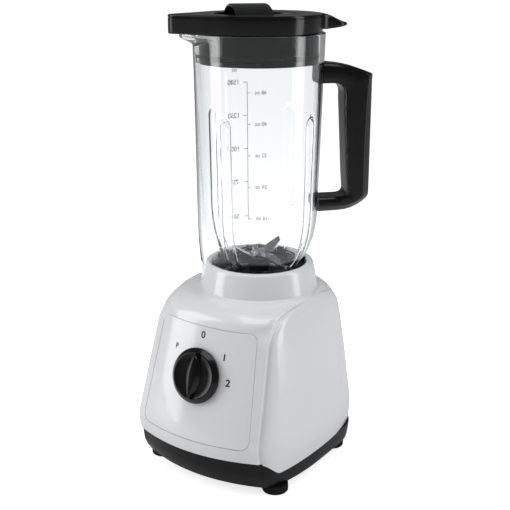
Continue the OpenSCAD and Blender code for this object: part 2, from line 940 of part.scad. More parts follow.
module jug_handle() {
    z1 = handle_top;
    z0 = handle_foot;
    far = handle_reach;
    gap_in = jug_rim_r + 17;
    color([0.05, 0.05, 0.05])
        difference() {
            intersection() {
                rotate([90, 0, handle_turn])
                    linear_extrude(handle_width, center = true)
                        difference() {
                            polygon(rounded([[jug_neck_r, z0], [far - 20, z0], [far, z0 + 14],
                                             [far, z1 - 10.5], [far - 22, z1 - 2.5], [jug_neck_r, z1 + 1]],
                                            [1, 30, 5, 2, 40, 1]));
                            polygon(rounded([[jug_neck_r - 1, z0 + 14], [gap_in + 5.5, z0 + 14],
                                             [gap_in, z1 - 18], [jug_neck_r - 1, z1 - 18]],
                                            [1, 5, 9, 1]));
                        }
                rotate([0, 0, handle_turn])
                    translate([0, 0, z0 - cut])
                        linear_extrude(handle_height + 4)
                            polygon(rounded([[0, -handle_width / 2], [far, -handle_width / 2],
                                             [far, handle_width / 2], [0, handle_width / 2]],
                                            [1, 8, 8, 1]));
            }
            jug_outside(seat_gap);
            handle_bosses(seat_gap);
            handle_screw_holes(handle_screw_r + 0.4);
            rotate([0, 0, handle_turn])
                for (arm = [[bosses[0], z1 - 18], [bosses[1], z0]])
                    translate([jug_waist_r + arm[0][1] - screw_inset, 0, arm[1] - cut])
                        cylinder(h = arm[0][0] - boss_half_height - handle_wall - arm[1] + cut, r = 3.2);
        }
}

module handle_screws()
    color("silver")
        rotate([0, 0, handle_turn])
            for (b = bosses)
                translate([jug_waist_r + b[1] - screw_inset, 0,
                           b[0] - boss_half_height - handle_wall - handle_head_t])
                    cross_screw(6.8, handle_screw_r, 2.8, handle_head_t - seat_gap);

// The ring that closes the neck: floor flange, wall, and lugs at its top edge
module blade_collar()
    color([0.06, 0.06, 0.06])
        difference() {
            union() {
                rotate_extrude()
                    polygon([[30, socket_floor], [ring_r - 1, socket_floor], [ring_r, socket_floor + 1],
                             [ring_r, neck_top - 7], [ring_r - 1.6, neck_top - 5.5],
                             [ring_r - 1.6, neck_top - 3], [jug_neck_r + seat_gap, neck_top - 3],
                             [jug_neck_r + seat_gap, base_plate_z], [30, base_plate_z]]);
                for (a = [0:45:315])
                    rotate([0, 0, a])
                        translate([jug_neck_r + seat_gap + 0.8, -4, neck_top - 3.5])
                            cube([ring_r - jug_neck_r - seat_gap - 1.6, 8, 4]);
            }
            translate([0, pin_y, socket_floor - cut])
                cylinder(h = pin_rise + 1 + cut, r = pin_r + 1);
            translate([0, 0, socket_floor - cut])
                rotate_extrude()
                    polygon([[31, 0], [36, 0], [36, 1.5], [31, 1.5]]);
        }

module blade_base()
    color([0.08, 0.08, 0.08])
        difference() {
            union() {
                translate([0, 0, base_plate_z])
                    cylinder(h = base_plate_t, r = jug_neck_r - seat_gap);
                translate([0, 0, base_plate_z])
                    cylinder(h = hub_top - base_plate_z, r = hub_r);
            }
            translate([0, 0, base_plate_z - cut])
                cylinder(h = hub_top - base_plate_z + 2 * cut, r = shaft_r + 3);
        }

module collar_gasket()
    color([0.75, 0.75, 0.72])
        translate([0, 0, base_plate_z + base_plate_t])
            difference() {
                cylinder(h = gasket_t, r = jug_neck_r - seat_gap);
                translate([0, 0, -cut])
                    cylinder(h = gasket_t + 2 * cut, r = jug_neck_in - 1.5);
            }

module blade_bushes()
    color([0.75, 0.6, 0.3])
        for (z = [base_plate_z, hub_top - 9])
            translate([0, 0, z])
                difference() {
                    cylinder(h = 6, r = shaft_r + 3 - running_gap);
                    translate([0, 0, -cut])
                        cylinder(h = 6 + 2 * cut, r = shaft_r + running_gap);
                }

module shaft_seal()
    color([0.1, 0.1, 0.1])
        translate([0, 0, hub_top - 2.9])
            difference() {
                cylinder(h = 2.8, r = shaft_r + 3 - running_gap);
                translate([0, 0, -cut])
                    cylinder(h = 2.8 + 2 * cut, r = shaft_r + running_gap);
            }

module blade_spindle()
    color("silver")
        translate([0, 0, coupling_z + coupling_height + 0.6])
            cylinder(h = blade_z + 2 * blade_t + 4 - coupling_z - coupling_height - 0.6, r = shaft_r);

// One double-ended blade: flat centre, then arms bent by tilt, with ground tips
module blade(tilt, sweep)
    difference() {
        union() {
            cylinder(h = blade_t, r = 8);
            for (a = [0, 180])
                rotate([0, 0, a]) {
                    translate([0, -5.5, 0])
                        cube([13, 11, blade_t]);
                    translate([12.3, 0, tilt > 0 ? 0 : 0.2])
                        rotate([0, -tilt, 0])
                            linear_extrude(blade_t * 0.98)
                                polygon([[0, -5.4], [sweep, -5.4], [sweep + 4, -1],
                                         [sweep * 0.5, 5], [0, 5.4]]);
                }
        }
        translate([0, 0, -cut])
            cylinder(h = blade_t + 2 * cut, r = shaft_r);
    }

module lower_blade()
    color([0.78, 0.79, 0.8])
        translate([0, 0, blade_z])
            blade(-24, blade_r - 18);

module upper_blade()
    color([0.78, 0.79, 0.8])
        translate([0, 0, blade_z + blade_t])
            rotate([0, 0, 80])
                blade(36, blade_r - 17);

module blade_washers()
    color("silver")
        for (z = [blade_z - 1, blade_z + 2 * blade_t])
            translate([0, 0, z])
                difference() {
                    cylinder(h = 1, r = 7);
                    translate([0, 0, -cut])
                        cylinder(h = 1 + 2 * cut, r = shaft_r);
                }

module blade_nut()
    color("silver")
        translate([0, 0, blade_z + 2 * blade_t + 1]) {
            difference() {
                cylinder(h = 4.5, r = 6.8, $fn = 6);
                translate([0, 0, -cut])
                    cylinder(h = 3 + cut, r = shaft_r);
            }
            translate([0, 0, 4.5])
                cylinder(h = 1.5, r1 = 5.2, r2 = 3);
        }

module driven_coupling()
    color([0.1, 0.1, 0.1])
        translate([0, 0, coupling_z + 0.5])
            difference() {
                cylinder(h = coupling_height + 1, r = coupling_r + 2.6);
                translate([0, 0, -cut])
                    star(lift_gap, coupling_height - 0.5 + cut);
                translate([0, 0, coupling_height - cut])
                    cylinder(h = 3, r = shaft_r);
            }

// ---- Lid and measuring cap ----

module lid_plan() {
    reach = nose_reach - nose_r;
    phi = acos((lid_r - nose_r) / reach);
    circle(lid_r);
    rotate(spout_turn) {
        translate([reach, 0])
            circle(nose_r);
        polygon([lid_r * [cos(phi), -sin(phi)], [reach, 0] + nose_r * [cos(phi), -sin(phi)],
                 [reach, 0] + nose_r * [cos(phi), sin(phi)], lid_r * [cos(phi), sin(phi)]]);
    }
}

// Places children on the measuring cap's axis, which sits towards the spout
module at_cap()
    translate([cap_offset * cos(spout_turn), cap_offset * sin(spout_turn), 0])
        children();

module lid()
    color([0.05, 0.05, 0.05])
        difference() {
            union() {
                translate([0, 0, rim_z])
                    linear_extrude(lid_height)
                        lid_plan();
                translate([0, 0, rim_z - plug_depth])
                    cylinder(h = plug_depth + cut, r = plug_r);
                rotate([90, 0, handle_turn])
                    linear_extrude(tab_width, center = true)
                        polygon([[lid_r - 6, lid_top], [lid_r + 1, lid_top], [lid_r + 7, lid_top - 2],
                                 [tab_reach - 7, lid_top - 6.5], [tab_reach, lid_top - 8.5],
                                 [tab_reach, lid_top - 10], [tab_reach - 9, lid_top - 11.5],
                                 [lid_r - 6, lid_top - 12.5]]);
            }
            translate([0, 0, rim_z - plug_depth - cut])
                cylinder(h = plug_depth + lid_height - 5 - wall + cut, r = plug_r - plug_wall);
            at_cap() {
                translate([0, 0, rim_z - plug_depth - cut])
                    cylinder(h = plug_depth + lid_height + 2 * cut, r = skirt_r + lift_gap);
                translate([0, 0, cap_seat])
                    cylinder(h = 5, r = cap_r + lift_gap);
            }
            translate([0, 0, seal_z])
                difference() {
                    cylinder(h = seal_height + 0.2, r = plug_r + cut);
                    translate([0, 0, -cut])
                        cylinder(h = seal_height + 2 * cut, r = plug_r - 1);
                }
        }

module lid_seal()
    color([0.12, 0.12, 0.12])
        translate([0, 0, seal_z + 0.1])
            rotate_extrude()
                polygon([[plug_r - 1 + running_gap, 0], [jug_in_at(seal_z) - lift_gap, 0.8],
                         [plug_r + 0.1, 1.6], [jug_in_at(seal_z) - lift_gap, 2.4], [plug_r + 0.1, 3.2],
                         [plug_r, seal_height], [plug_r - 1 + running_gap, seal_height]]);

module measuring_cap() {
    foot = cap_r - 3;
    arch = bridge_rise + 2.5;
    arch_r = (foot * foot + arch * arch) / (2 * arch);
    color([0.06, 0.06, 0.06])
    at_cap()
        difference() {
            union() {
                translate([0, 0, cap_seat])
                    cylinder(h = lid_top - cap_seat, r = cap_r);
                translate([0, 0, cap_seat - skirt_depth])
                    cylinder(h = skirt_depth + cut, r = skirt_r);
                intersection() {
                    rotate([90, 0, bridge_turn])
                        linear_extrude(bridge_width, center = true)
                            difference() {
                                translate([0, lid_top + bridge_rise - arch_r])
                                    circle(arch_r);
                                translate([0, lid_top + bridge_rise - arch_r])
                                    circle(arch_r - 2.6);
                            }
                    translate([0, 0, cap_seat])
                        cylinder(h = 30, r = cap_r - 0.5);
                }
            }
            // Finger well under the bridge
            rotate([0, 0, bridge_turn])
                difference() {
                    translate([0, 0, lid_top - well_depth])
                        intersection() {
                            cylinder(h = well_depth + cut, r = skirt_r - 4);
                            translate([-22, -30, 0])
                                cube([44, 60, well_depth + cut]);
                        }
                    rotate([90, 0, 0])
                        linear_extrude(bridge_width + cut, center = true)
                            difference() {
                                translate([0, lid_top + bridge_rise - arch_r])
                                    circle(arch_r);
                                translate([0, lid_top + bridge_rise - arch_r])
                                    circle(arch_r - 2.6);
                            }
                }
            // Hollow of the skirt, open below
            translate([0, 0, cap_seat - skirt_depth - cut])
                cylinder(h = skirt_depth - well_depth + 1 + cut, r = skirt_r - 2);
        }
}

housing();
control_panel();
base_tray();
feet();
base_screws();
cord_gland();
switch_body();
switch_nut();
stator_core();
field_coils();
upper_bracket();
lower_bracket();
motor_screws();
motor_mounts();
motor_bearings();
brush_holders();
brushes();
interlock_switch();
motor_shaft();
armature_core();
armature_windings();
commutator();
fan();
drive_coupling();
knob();
switch_spindle();
interlock_pin();
interlock_spring();
jug();
jug_handle();
handle_screws();
blade_collar();
collar_gasket();
blade_base();
blade_bushes();
shaft_seal();
blade_spindle();
lower_blade();
upper_blade();
blade_washers();
blade_nut();
driven_coupling();
lid();
lid_seal();
measuring_cap();
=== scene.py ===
from math import acos, atan2, cos, hypot, pi, radians, sin, sqrt, tan

import bmesh
import bpy
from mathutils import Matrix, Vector


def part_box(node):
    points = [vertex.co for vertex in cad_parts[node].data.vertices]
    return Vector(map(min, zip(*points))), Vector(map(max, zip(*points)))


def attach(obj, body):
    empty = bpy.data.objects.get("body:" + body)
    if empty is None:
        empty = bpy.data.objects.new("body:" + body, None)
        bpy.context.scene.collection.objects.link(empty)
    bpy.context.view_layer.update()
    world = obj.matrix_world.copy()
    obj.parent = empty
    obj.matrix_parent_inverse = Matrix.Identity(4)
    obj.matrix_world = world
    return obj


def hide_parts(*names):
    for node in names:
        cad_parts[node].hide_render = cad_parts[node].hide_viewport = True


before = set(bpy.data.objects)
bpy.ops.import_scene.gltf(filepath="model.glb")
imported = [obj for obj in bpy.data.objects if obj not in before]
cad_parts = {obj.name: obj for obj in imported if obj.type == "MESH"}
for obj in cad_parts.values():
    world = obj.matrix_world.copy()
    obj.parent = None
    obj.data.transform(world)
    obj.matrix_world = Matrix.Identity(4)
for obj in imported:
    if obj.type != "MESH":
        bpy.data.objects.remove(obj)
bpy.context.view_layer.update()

# ---------------------------------------------------------------------------
# Base tray: the black moulding that closes the base from below. ABS with a
# fine spark-eroded grain, screwed up into the housing through its four feet.
# ---------------------------------------------------------------------------
mm = 0.001
tray_low, tray_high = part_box("base_tray")
shell_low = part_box("housing")[0]
front_reach = shell_low.y
belt_z = 44 * mm
skirt_z = 54 * mm
edge_z = 146 * mm
shoulder_z = 161 * mm
seam_front = tray_high.z
seam_side = 24 * mm
cheek_y = -12 * mm
bow_r = 150 * mm
lean_back = radians(17)
front_slope = tan(lean_back)
front_steps = 20
edge_steps = 5
cheek_steps = 30


def mix(a, b, t):
    return a + (b - a) * t


def ramp(t):
    """Eases from 0 to 1 as t goes from 0 to 1."""
    t = min(max(t, 0), 1)
    return t * t * (3 - 2 * t)


def along(x, table):
    """Reads a table of (x, value) pairs, straight between them."""
    for (x0, v0), (x1, v1) in zip(table, table[1:]):
        if x <= x1:
            return mix(v0, v1, max(x - x0, 0) / (x1 - x0))
    return table[-1][1]


def loft(name, rings, ends="fill"):
    """Draws a circle out ring by ring, sets each ring to its own outline, and shuts both ends."""
    bpy.ops.object.select_all(action="DESELECT")
    bpy.ops.mesh.primitive_circle_add(vertices=len(rings[0]), radius=1)
    piece = bpy.context.object
    piece.name = piece.data.name = name
    bpy.ops.object.mode_set(mode="EDIT")
    bpy.ops.mesh.select_all(action="SELECT")
    for number, ring in enumerate(rings):
        if number:
            bpy.ops.mesh.extrude_region_move()
        mesh = bmesh.from_edit_mesh(piece.data)
        for vert, place in zip([v for v in mesh.verts if v.select], ring):
            vert.co = place
        bmesh.update_edit_mesh(piece.data)
        if ends == "fill" and number in (0, len(rings) - 1):
            bpy.ops.mesh.edge_face_add()
            bpy.ops.mesh.select_mode(type="VERT")
    bpy.ops.mesh.select_all(action="SELECT")
    bpy.ops.mesh.remove_doubles(threshold=1e-6)
    bpy.ops.mesh.select_all(action="SELECT")
    bpy.ops.mesh.normals_make_consistent(inside=False)
    bpy.ops.object.mode_set(mode="OBJECT")
    return piece


def smooth(piece, angle=35):
    """Shades a piece smooth, apart from edges sharper than the angle."""
    bpy.ops.object.select_all(action="DESELECT")
    piece.select_set(True)
    bpy.context.view_layer.objects.active = piece
    bpy.ops.object.shade_smooth_by_angle(angle=radians(angle))


def apply_last(piece):
    """Applies the modifier that was added last."""
    bpy.context.view_layer.objects.active = piece
    bpy.ops.object.modifier_apply(modifier=piece.modifiers[-1].name)


def thicken(piece, wall):
    """Gives a skin its wall, on the inner side."""
    solid = piece.modifiers.new("wall", "SOLIDIFY")
    solid.thickness = wall
    solid.offset = -1
    solid.use_even_offset = True
    apply_last(piece)


def put(piece, body, slot, *nodes):
    """Says which body a piece rides on, and hides the CAD nodes that it stands for; the slot argument is not
    used.
    """
    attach(piece, body)
    if nodes:
        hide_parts(*nodes)


def socket(group, name, kind, way, value=None):
    made = group.interface.new_socket(name=name, in_out=way, socket_type=kind)
    if value is not None:
        made.default_value = value


def build_moulded_surface():
    """Grain, slight mottling and handling marks that every moulded or cast surface shares."""
    group = bpy.data.node_groups.new("moulded_surface", "ShaderNodeTree")
    socket(group, "Place", "NodeSocketVector", "INPUT")
    socket(group, "Colour", "NodeSocketColor", "INPUT")
    socket(group, "Deep Colour", "NodeSocketColor", "INPUT")
    socket(group, "Grain Size", "NodeSocketFloat", "INPUT", 1.0)
    socket(group, "Grain Depth", "NodeSocketFloat", "INPUT", 0.1)
    socket(group, "Roughness", "NodeSocketFloat", "INPUT", 0.3)
    socket(group, "Marks", "NodeSocketFloat", "INPUT", 0.1)
    socket(group, "Colour", "NodeSocketColor", "OUTPUT")
    socket(group, "Roughness", "NodeSocketFloat", "OUTPUT")
    socket(group, "Normal", "NodeSocketVector", "OUTPUT")
    add, link = group.nodes.new, group.links.new
    given, out = add("NodeGroupInput"), add("NodeGroupOutput")
    grain, cloud, smear = (add("ShaderNodeTexNoise") for _ in range(3))
    for noise, detail in ((grain, 3), (cloud, 4), (smear, 6)):
        noise.inputs["Detail"].default_value = detail
        link(given.outputs["Place"], noise.inputs["Vector"])
    link(given.outputs["Grain Size"], grain.inputs["Scale"])
    cloud.inputs["Scale"].default_value = 14
    smear.inputs["Scale"].default_value = 38
    smear.inputs["Distortion"].default_value = 1.4
    tint = add("ShaderNodeMix")
    tint.data_type = "RGBA"
    link(cloud.outputs["Fac"], tint.inputs["Factor"])
    link(given.outputs["Colour"], tint.inputs["A"])
    link(given.outputs["Deep Colour"], tint.inputs["B"])
    link(tint.outputs["Result"], out.inputs["Colour"])
    marks = add("ShaderNodeMapRange")
    marks.inputs["From Min"].default_value = 0.35
    marks.inputs["From Max"].default_value = 0.7
    link(smear.outputs["Fac"], marks.inputs["Value"])
    link(given.outputs["Marks"], marks.inputs["To Max"])
    total = add("ShaderNodeMath")
    link(given.outputs["Roughness"], total.inputs[0])
    link(marks.outputs["Result"], total.inputs[1])
    link(total.outputs["Value"], out.inputs["Roughness"])
    bump = add("ShaderNodeBump")
    bump.inputs["Distance"].default_value = 0.1 * mm
    link(given.outputs["Grain Depth"], bump.inputs["Strength"])
    link(grain.outputs["Fac"], bump.inputs["Height"])
    link(bump.outputs["Normal"], out.inputs["Normal"])
    return group


moulded_surface = build_moulded_surface()


def moulded(name, colour, deep, rough, grain, depth, marks=0.05, metal=0.0, coat=0.0, shine=0.5):
    """A moulded, cast or turned finish: two close colours, roughness, grain per metre and its depth."""
    material = bpy.data.materials.new(name)
    material.use_nodes = True
    nodes, link = material.node_tree.nodes, material.node_tree.links.new
    shader = nodes["Principled BSDF"]
    shader.inputs["Metallic"].default_value = metal
    shader.inputs["Coat Weight"].default_value = coat
    shader.inputs["Specular IOR Level"].default_value = shine
    shader.inputs["Coat Roughness"].default_value = 0.06
    place = nodes.new("ShaderNodeTexCoord")
    surface = nodes.new("ShaderNodeGroup")
    surface.node_tree = moulded_surface
    link(place.outputs["Object"], surface.inputs["Place"])
    surface.inputs["Colour"].default_value = (*colour, 1)
    surface.inputs["Deep Colour"].default_value = (*deep, 1)
    surface.inputs["Grain Size"].default_value = grain
    surface.inputs["Grain Depth"].default_value = depth
    surface.inputs["Roughness"].default_value = rough
    surface.inputs["Marks"].default_value = marks
    link(surface.outputs["Colour"], shader.inputs["Base Color"])
    link(surface.outputs["Roughness"], shader.inputs["Roughness"])
    link(surface.outputs["Normal"], shader.inputs["Normal"])
    return material


def dress(thing, material):
    """Gives a piece, or a CAD node by its name, its one material."""
    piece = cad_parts[thing] if isinstance(thing, str) else thing
    piece.data.materials.clear()
    piece.data.materials.append(material)


def front_line(z):
    """How far forward the middle of the front reaches at a height."""
    if z <= skirt_z:
        return front_reach + along(z, [(seam_side, 5 * mm), (belt_z, 0.4 * mm), (skirt_z, 0.9 * mm)])
    return front_reach + 1 * mm + (min(z, edge_z) - skirt_z) * front_slope


def bowed(x, z):
    """A point of the front face: it leans back, and bows in plan."""
    return Vector((x, front_line(z) + x * x / (2 * bow_r), z))


def tray_ring(z, front, ridge, half, back):
    """Plan outline of the tray: bowed front, rounded cheeks, round back corners."""
    ridge_y = front + ridge * ridge / (2 * bow_r)
    corner = 34 * mm
    right = [(ridge * i / 14, front + (ridge * i / 14) ** 2 / (2 * bow_r)) for i in range(14)]
    for i in range(27):
        t = pi / 2 * i / 26
        right.append((ridge + (half - ridge) * sin(t), ridge_y + (cheek_y - ridge_y) * (1 - cos(t))))
    for i in range(19):
        t = pi / 2 * i / 18
        right.append((half - corner + corner * cos(t), back - corner + corner * sin(t)))
    right += [((half - corner) * (1 - i / 6), back) for i in range(1, 7)]
    left = [(-x, y) for x, y in reversed(right[1:-1])]
    return [Vector((x, y, z)) for x, y in right + left]


def seam_height(y):
    """Height of the seam: level across the front, then an S down to the sides."""
    return mix(seam_front, seam_side, ramp((y - front_reach - 18 * mm) / (18 * mm)))


tray_levels = [
    (tray_low.z, 18.5, 57, 74.7, 57), (tray_low.z + 0.9 * mm, 16.8, 58, 76.0, 59),
    (tray_low.z + 3 * mm, 15, 59, 77.2, 60), (17 * mm, 10, 61, 78, 61.2), (seam_side, 6.6, 62, 78.3, 61.8),
]
tray_rings = [tray_ring(z, front_reach + f * mm, r * mm, h * mm, b * mm) for z, f, r, h, b in tray_levels]
rise = [p.copy() for p in tray_rings[-1]]
for share in (0.25, 0.5, 0.75, 1.0):
    ring = []
    for p in rise:
        step = share * max(seam_height(p.y) - seam_side, 0.8 * mm)
        ring.append(Vector((p.x, p.y - 0.16 * step * (p.y < cheek_y), seam_side + step)))
    tray_rings.append(ring)
tray_rings.append([p * (1 - 2.2 * mm / p.xy.length) for p in tray_rings[-1]])
for p in tray_rings[-1]:
    p.z = seam_height(p.y) + 2 * mm
tray = loft("base_tray_moulding", [[p * 0.02 + Vector((0, 0, tray_low.z)) * 0.98 for p in tray_rings[0]],
                                   [p * 0.6 + Vector((0, 0, tray_low.z)) * 0.4 for p in tray_rings[0]],
                                   *tray_rings], ends="open")
thicken(tray, 2.6 * mm)
for x in range(-24, 25, 8):
    bpy.ops.object.select_all(action="DESELECT")
    bpy.ops.mesh.primitive_cube_add(size=1, location=(x * mm, 0, tray_low.z))
    slit = bpy.context.object
    slit.scale = (4 * mm, 52 * mm, 12 * mm)
    bpy.ops.object.transform_apply(location=True, rotation=True, scale=True)
    vent = tray.modifiers.new("vent", "BOOLEAN")
    vent.object = slit
    vent.operation = "DIFFERENCE"
    apply_last(tray)
    bpy.data.objects.remove(slit)
smooth(tray)
tray_black = moulded("tray_black", (0.004, 0.004, 0.0044), (0.007, 0.007, 0.0075), 0.3, 1900, 0.5, shine=0.16)
dress(tray, tray_black)
put(tray, "base", "black_tray", "base_tray")

# ---------------------------------------------------------------------------
# Feet: four soft rubber pads. Each is a moulded disc with a rounded sole edge
# and a well for its screw, pressed against the tray by that screw.
# ---------------------------------------------------------------------------
feet_low, feet_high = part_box("feet")
foot_r = 11.5 * mm
foot_x = feet_high.x - foot_r
foot_ys = (feet_low.y + foot_r, feet_high.y - foot_r)


def circle_ring(r, z, steps=48, x=0.0, y=0.0):
    turns = [2 * pi * i / steps for i in range(steps)]
    return [Vector((x + r * cos(a), y + r * sin(a), z)) for a in turns]


def turned(name, profile, steps=96, x=0.0, y=0.0):
    """A round piece drawn from its profile of (radius, height); a radius near 0 closes it on its axis."""
    return loft(name, [circle_ring(max(r, 1e-5), z, steps, x, y) for r, z in profile])


rubber = moulded("foot_rubber", (0.008, 0.008, 0.008), (0.014, 0.0135, 0.013), 0.72, 1400, 0.9, 0.1,
                 shine=0.2)
for side in (-1, 1):
    for row, foot_y in enumerate(foot_ys):
        top = feet_high.z
        profile = [(0, 0), (8.2, 0), (8.6, 0.5), (9.4, 0.5), (9.8, 0), (10.4, 0), (11.1, 0.3), (11.5, 1.1),
                   (11.5, 5.2), (11.3, 5.6), (11.3, 7.4), (4.6, 7.4), (4.4, 7.1), (4.4, 4.6), (0, 4.4)]
        foot = turned(f"foot_{'front' if row == 0 else 'back'}_{'right' if side > 0 else 'left'}",
                      [(r * mm, min(z * mm, top)) for r, z in profile], 56, side * foot_x, foot_y)
        smooth(foot)
        dress(foot, rubber)
        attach(foot, "base")
        if side < 0 and row == 0:
            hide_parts("feet")

# ---------------------------------------------------------------------------
# Fasteners and the cord gland: zinc-plated steel screws, and a rubber sleeve
# that lines the hole in the back wall where a mains lead would go in.
# ---------------------------------------------------------------------------
zinc = moulded("zinc_plate", (0.62, 0.63, 0.60), (0.48, 0.50, 0.47), 0.3, 900, 0.25, 0.15, metal=1.0)
for node in ("base_screws", "motor_screws", "handle_screws"):
    dress(node, zinc)
dress("cord_gland", rubber)

# ---------------------------------------------------------------------------
# Motor: a universal motor with laminated steel stacks, enamelled copper
# windings, cast brackets, carbon brushes, sintered bearings and a nylon fan.
# ---------------------------------------------------------------------------


def banded(name, colour, deep, rough, pitch, direction, metal=1.0):
    """Fine parallel lines, as on a stack of laminations, a winding or a brushed face."""
    material = moulded(name, colour, deep, rough, 700, 0.2, 0.1, metal)
    nodes, link = material.node_tree.nodes, material.node_tree.links.new
    shader, place = nodes["Principled BSDF"], nodes["Texture Coordinate"]
    lines = nodes.new("ShaderNodeTexWave")
    lines.bands_direction = direction
    lines.inputs["Scale"].default_value = 0.314 / pitch
    lines.inputs["Distortion"].default_value = 0.4
    bump = nodes.new("ShaderNodeBump")
    bump.inputs["Strength"].default_value = 0.6
    bump.inputs["Distance"].default_value = 0.12 * mm
    link(place.outputs["Object"], lines.inputs["Vector"])
    link(lines.outputs["Fac"], bump.inputs["Height"])
    link(bump.outputs["Normal"], shader.inputs["Normal"])
    return material


laminated = banded("laminations", (0.33, 0.33, 0.35), (0.2, 0.19, 0.19), 0.42, 0.5 * mm, "Z")
enamelled = banded("copper_windings", (0.62, 0.24, 0.09), (0.4, 0.12, 0.04), 0.3, 0.6 * mm, "Z")
cast_alloy = moulded("cast_alloy", (0.6, 0.61, 0.62), (0.5, 0.5, 0.51), 0.45, 1300, 0.7, 0.1, metal=1.0)
sintered = moulded("sintered_bronze", (0.55, 0.36, 0.16), (0.4, 0.25, 0.1), 0.4, 2600, 0.6, 0.1, metal=1.0)
carbon = moulded("carbon", (0.03, 0.03, 0.032), (0.05, 0.05, 0.052), 0.6, 2400, 0.5)
nylon = moulded("nylon", (0.7, 0.69, 0.63), (0.62, 0.6, 0.54), 0.42, 800, 0.25)
ground_steel = moulded("ground_steel", (0.62, 0.63, 0.65), (0.52, 0.53, 0.55), 0.22, 1500, 0.2, 0.12,
                       metal=1.0)
for node in ("stator_core", "armature_core"):
    dress(node, laminated)
for node in ("field_coils", "armature_windings", "commutator"):
    dress(node, enamelled)
for node in ("upper_bracket", "lower_bracket"):
    dress(node, cast_alloy)
for node in ("motor_bearings", "brush_holders", "blade_bushes"):
    dress(node, sintered)
dress("brushes", carbon)
dress("fan", nylon)
dress("motor_shaft", ground_steel)
dress("motor_mounts", rubber)

# ---------------------------------------------------------------------------
# Switchgear: a rotary switch behind the panel, with a steel nut and spindle,
# and the jug's safety switch with its nylon pin and steel spring.
# ---------------------------------------------------------------------------
switch_case = moulded("switch_case", (0.055, 0.055, 0.06), (0.04, 0.04, 0.045), 0.4, 1200, 0.4)
for node in ("switch_body", "interlock_switch"):
    dress(node, switch_case)
for node in ("switch_nut", "switch_spindle", "interlock_spring"):
    dress(node, ground_steel)
dress("interlock_pin", nylon)

# ---------------------------------------------------------------------------
# Housing: one glossy white ABS shell. The bowed front leans back between two
# proud ridges that arch over smooth side cheeks, and a collar holds the jug.
# ---------------------------------------------------------------------------
wall = 3 * mm
edge_r = 1.9 * mm
ridge_arch = [(24, 62.0), (38, 62.0), (54, 61.0), (100, 58.5), (132, 56.2), (146, 56.2), (154, 57.0),
              (158, 58.5), (160.2, 61.0), (161, 61.0)]
ridge_back_of_front = [(24, 0), (138, 0), (146, 4), (152, 11), (156, 21), (158.5, 33), (160.2, 49), (161, 51)]
side_reach = [(24, 79.2), (36, 82.2), (44, 83), (48, 82.9), (54, 82.0), (100, 75.2), (132, 69.2), (146, 65.9),
              (154, 64.6), (158, 63.4), (160.2, 62.4), (161, 62.0)]
back_line = [(24, 63), (40, 64), (54, 63.4), (146, 58.4), (154, 56.2), (158, 53.4), (160.2, 50.4),
             (161, 49.4)]
back_ridge_y = [(24, 58), (54, 57.4), (132, 50), (146, 46), (152, 40), (156, 31), (158.5, 20), (160.2, 6),
                (161, 3)]
front_drop = [(146, 0), (150, 1.8), (154, 4.9), (157, 8.8), (159, 12.6), (160.2, 16), (161, 20)]


def level_outline(z):
    """Right half of the housing's plan at a height, from the middle of the front to that of the back."""
    z_mm = z / mm
    fade = 1 - 0.75 * ramp((z_mm - 148) / 12)
    step = edge_r * fade
    ridge_x = along(z_mm, ridge_arch) * mm
    side_x = along(z_mm, side_reach) * mm
    front_y = front_line(z) + along(z_mm, [(24, 0), *front_drop]) * mm
    ridge_y = bowed(ridge_x, min(z, edge_z)).y + along(z_mm, ridge_back_of_front) * mm
    back_y = along(z_mm, back_line) * mm
    back_x = ridge_x * 0.97
    back_ridge = along(z_mm, back_ridge_y) * mm
    round_off = ramp((z_mm - 138) / 18)
    points = []
    for i in range(front_steps):
        s = i / front_steps
        parabola = (ridge_x * s, front_y + (ridge_y - front_y) * s * s)
        t = pi / 2 * s
        swept = (ridge_x * sin(t) ** 0.85, front_y + (ridge_y - front_y) * (1 - cos(t) ** 0.85))
        points.append(tuple(mix(a, b, round_off) for a, b in zip(parabola, swept)))
    turn = [radians(-90 + 90 * i / edge_steps) for i in range(edge_steps + 1)]
    points += [(ridge_x + step * cos(a), ridge_y + step * (1 + sin(a))) for a in turn]
    hollow = [radians(180 - 90 * i / edge_steps) for i in range(1, edge_steps + 1)]
    points += [(ridge_x + step * (2 + cos(a)), ridge_y + step * (1.2 + sin(a) * 1.2)) for a in hollow]
    start_x, start_y = points[-1]
    for i in range(1, cheek_steps):
        t = pi / 2 * i / cheek_steps
        points.append((start_x + (side_x - start_x) * sin(t), start_y + (cheek_y - start_y) * (1 - cos(t))))
    end_x, end_y = back_x + 2 * step, back_ridge - 2.4 * step
    for i in range(cheek_steps):
        t = pi / 2 * i / cheek_steps
        points.append((end_x + (side_x - end_x) * cos(t) ** 0.9,
                       cheek_y + (end_y - cheek_y) * sin(t) ** 0.95))
    points += [(back_x + step * (2 + cos(a)), back_ridge - step * (1.2 + sin(a) * 1.2))
               for a in reversed(hollow)]
    points += [(back_x + step * cos(a), back_ridge - step * (1 + sin(a))) for a in reversed(turn)]
    for i in range(1, front_steps + 1):
        s = 1 - i / front_steps
        points.append((back_x * s, back_y + (back_ridge - back_y) * s ** 5))
    return points


def whole(points, heights):
    """Both halves of a ring, from the points of its right half and their heights."""
    right = [Vector((x, y, z)) for (x, y), z in zip(points, heights)]
    return right + [Vector((-p.x, p.y, p.z)) for p in reversed(right[1:-1])]


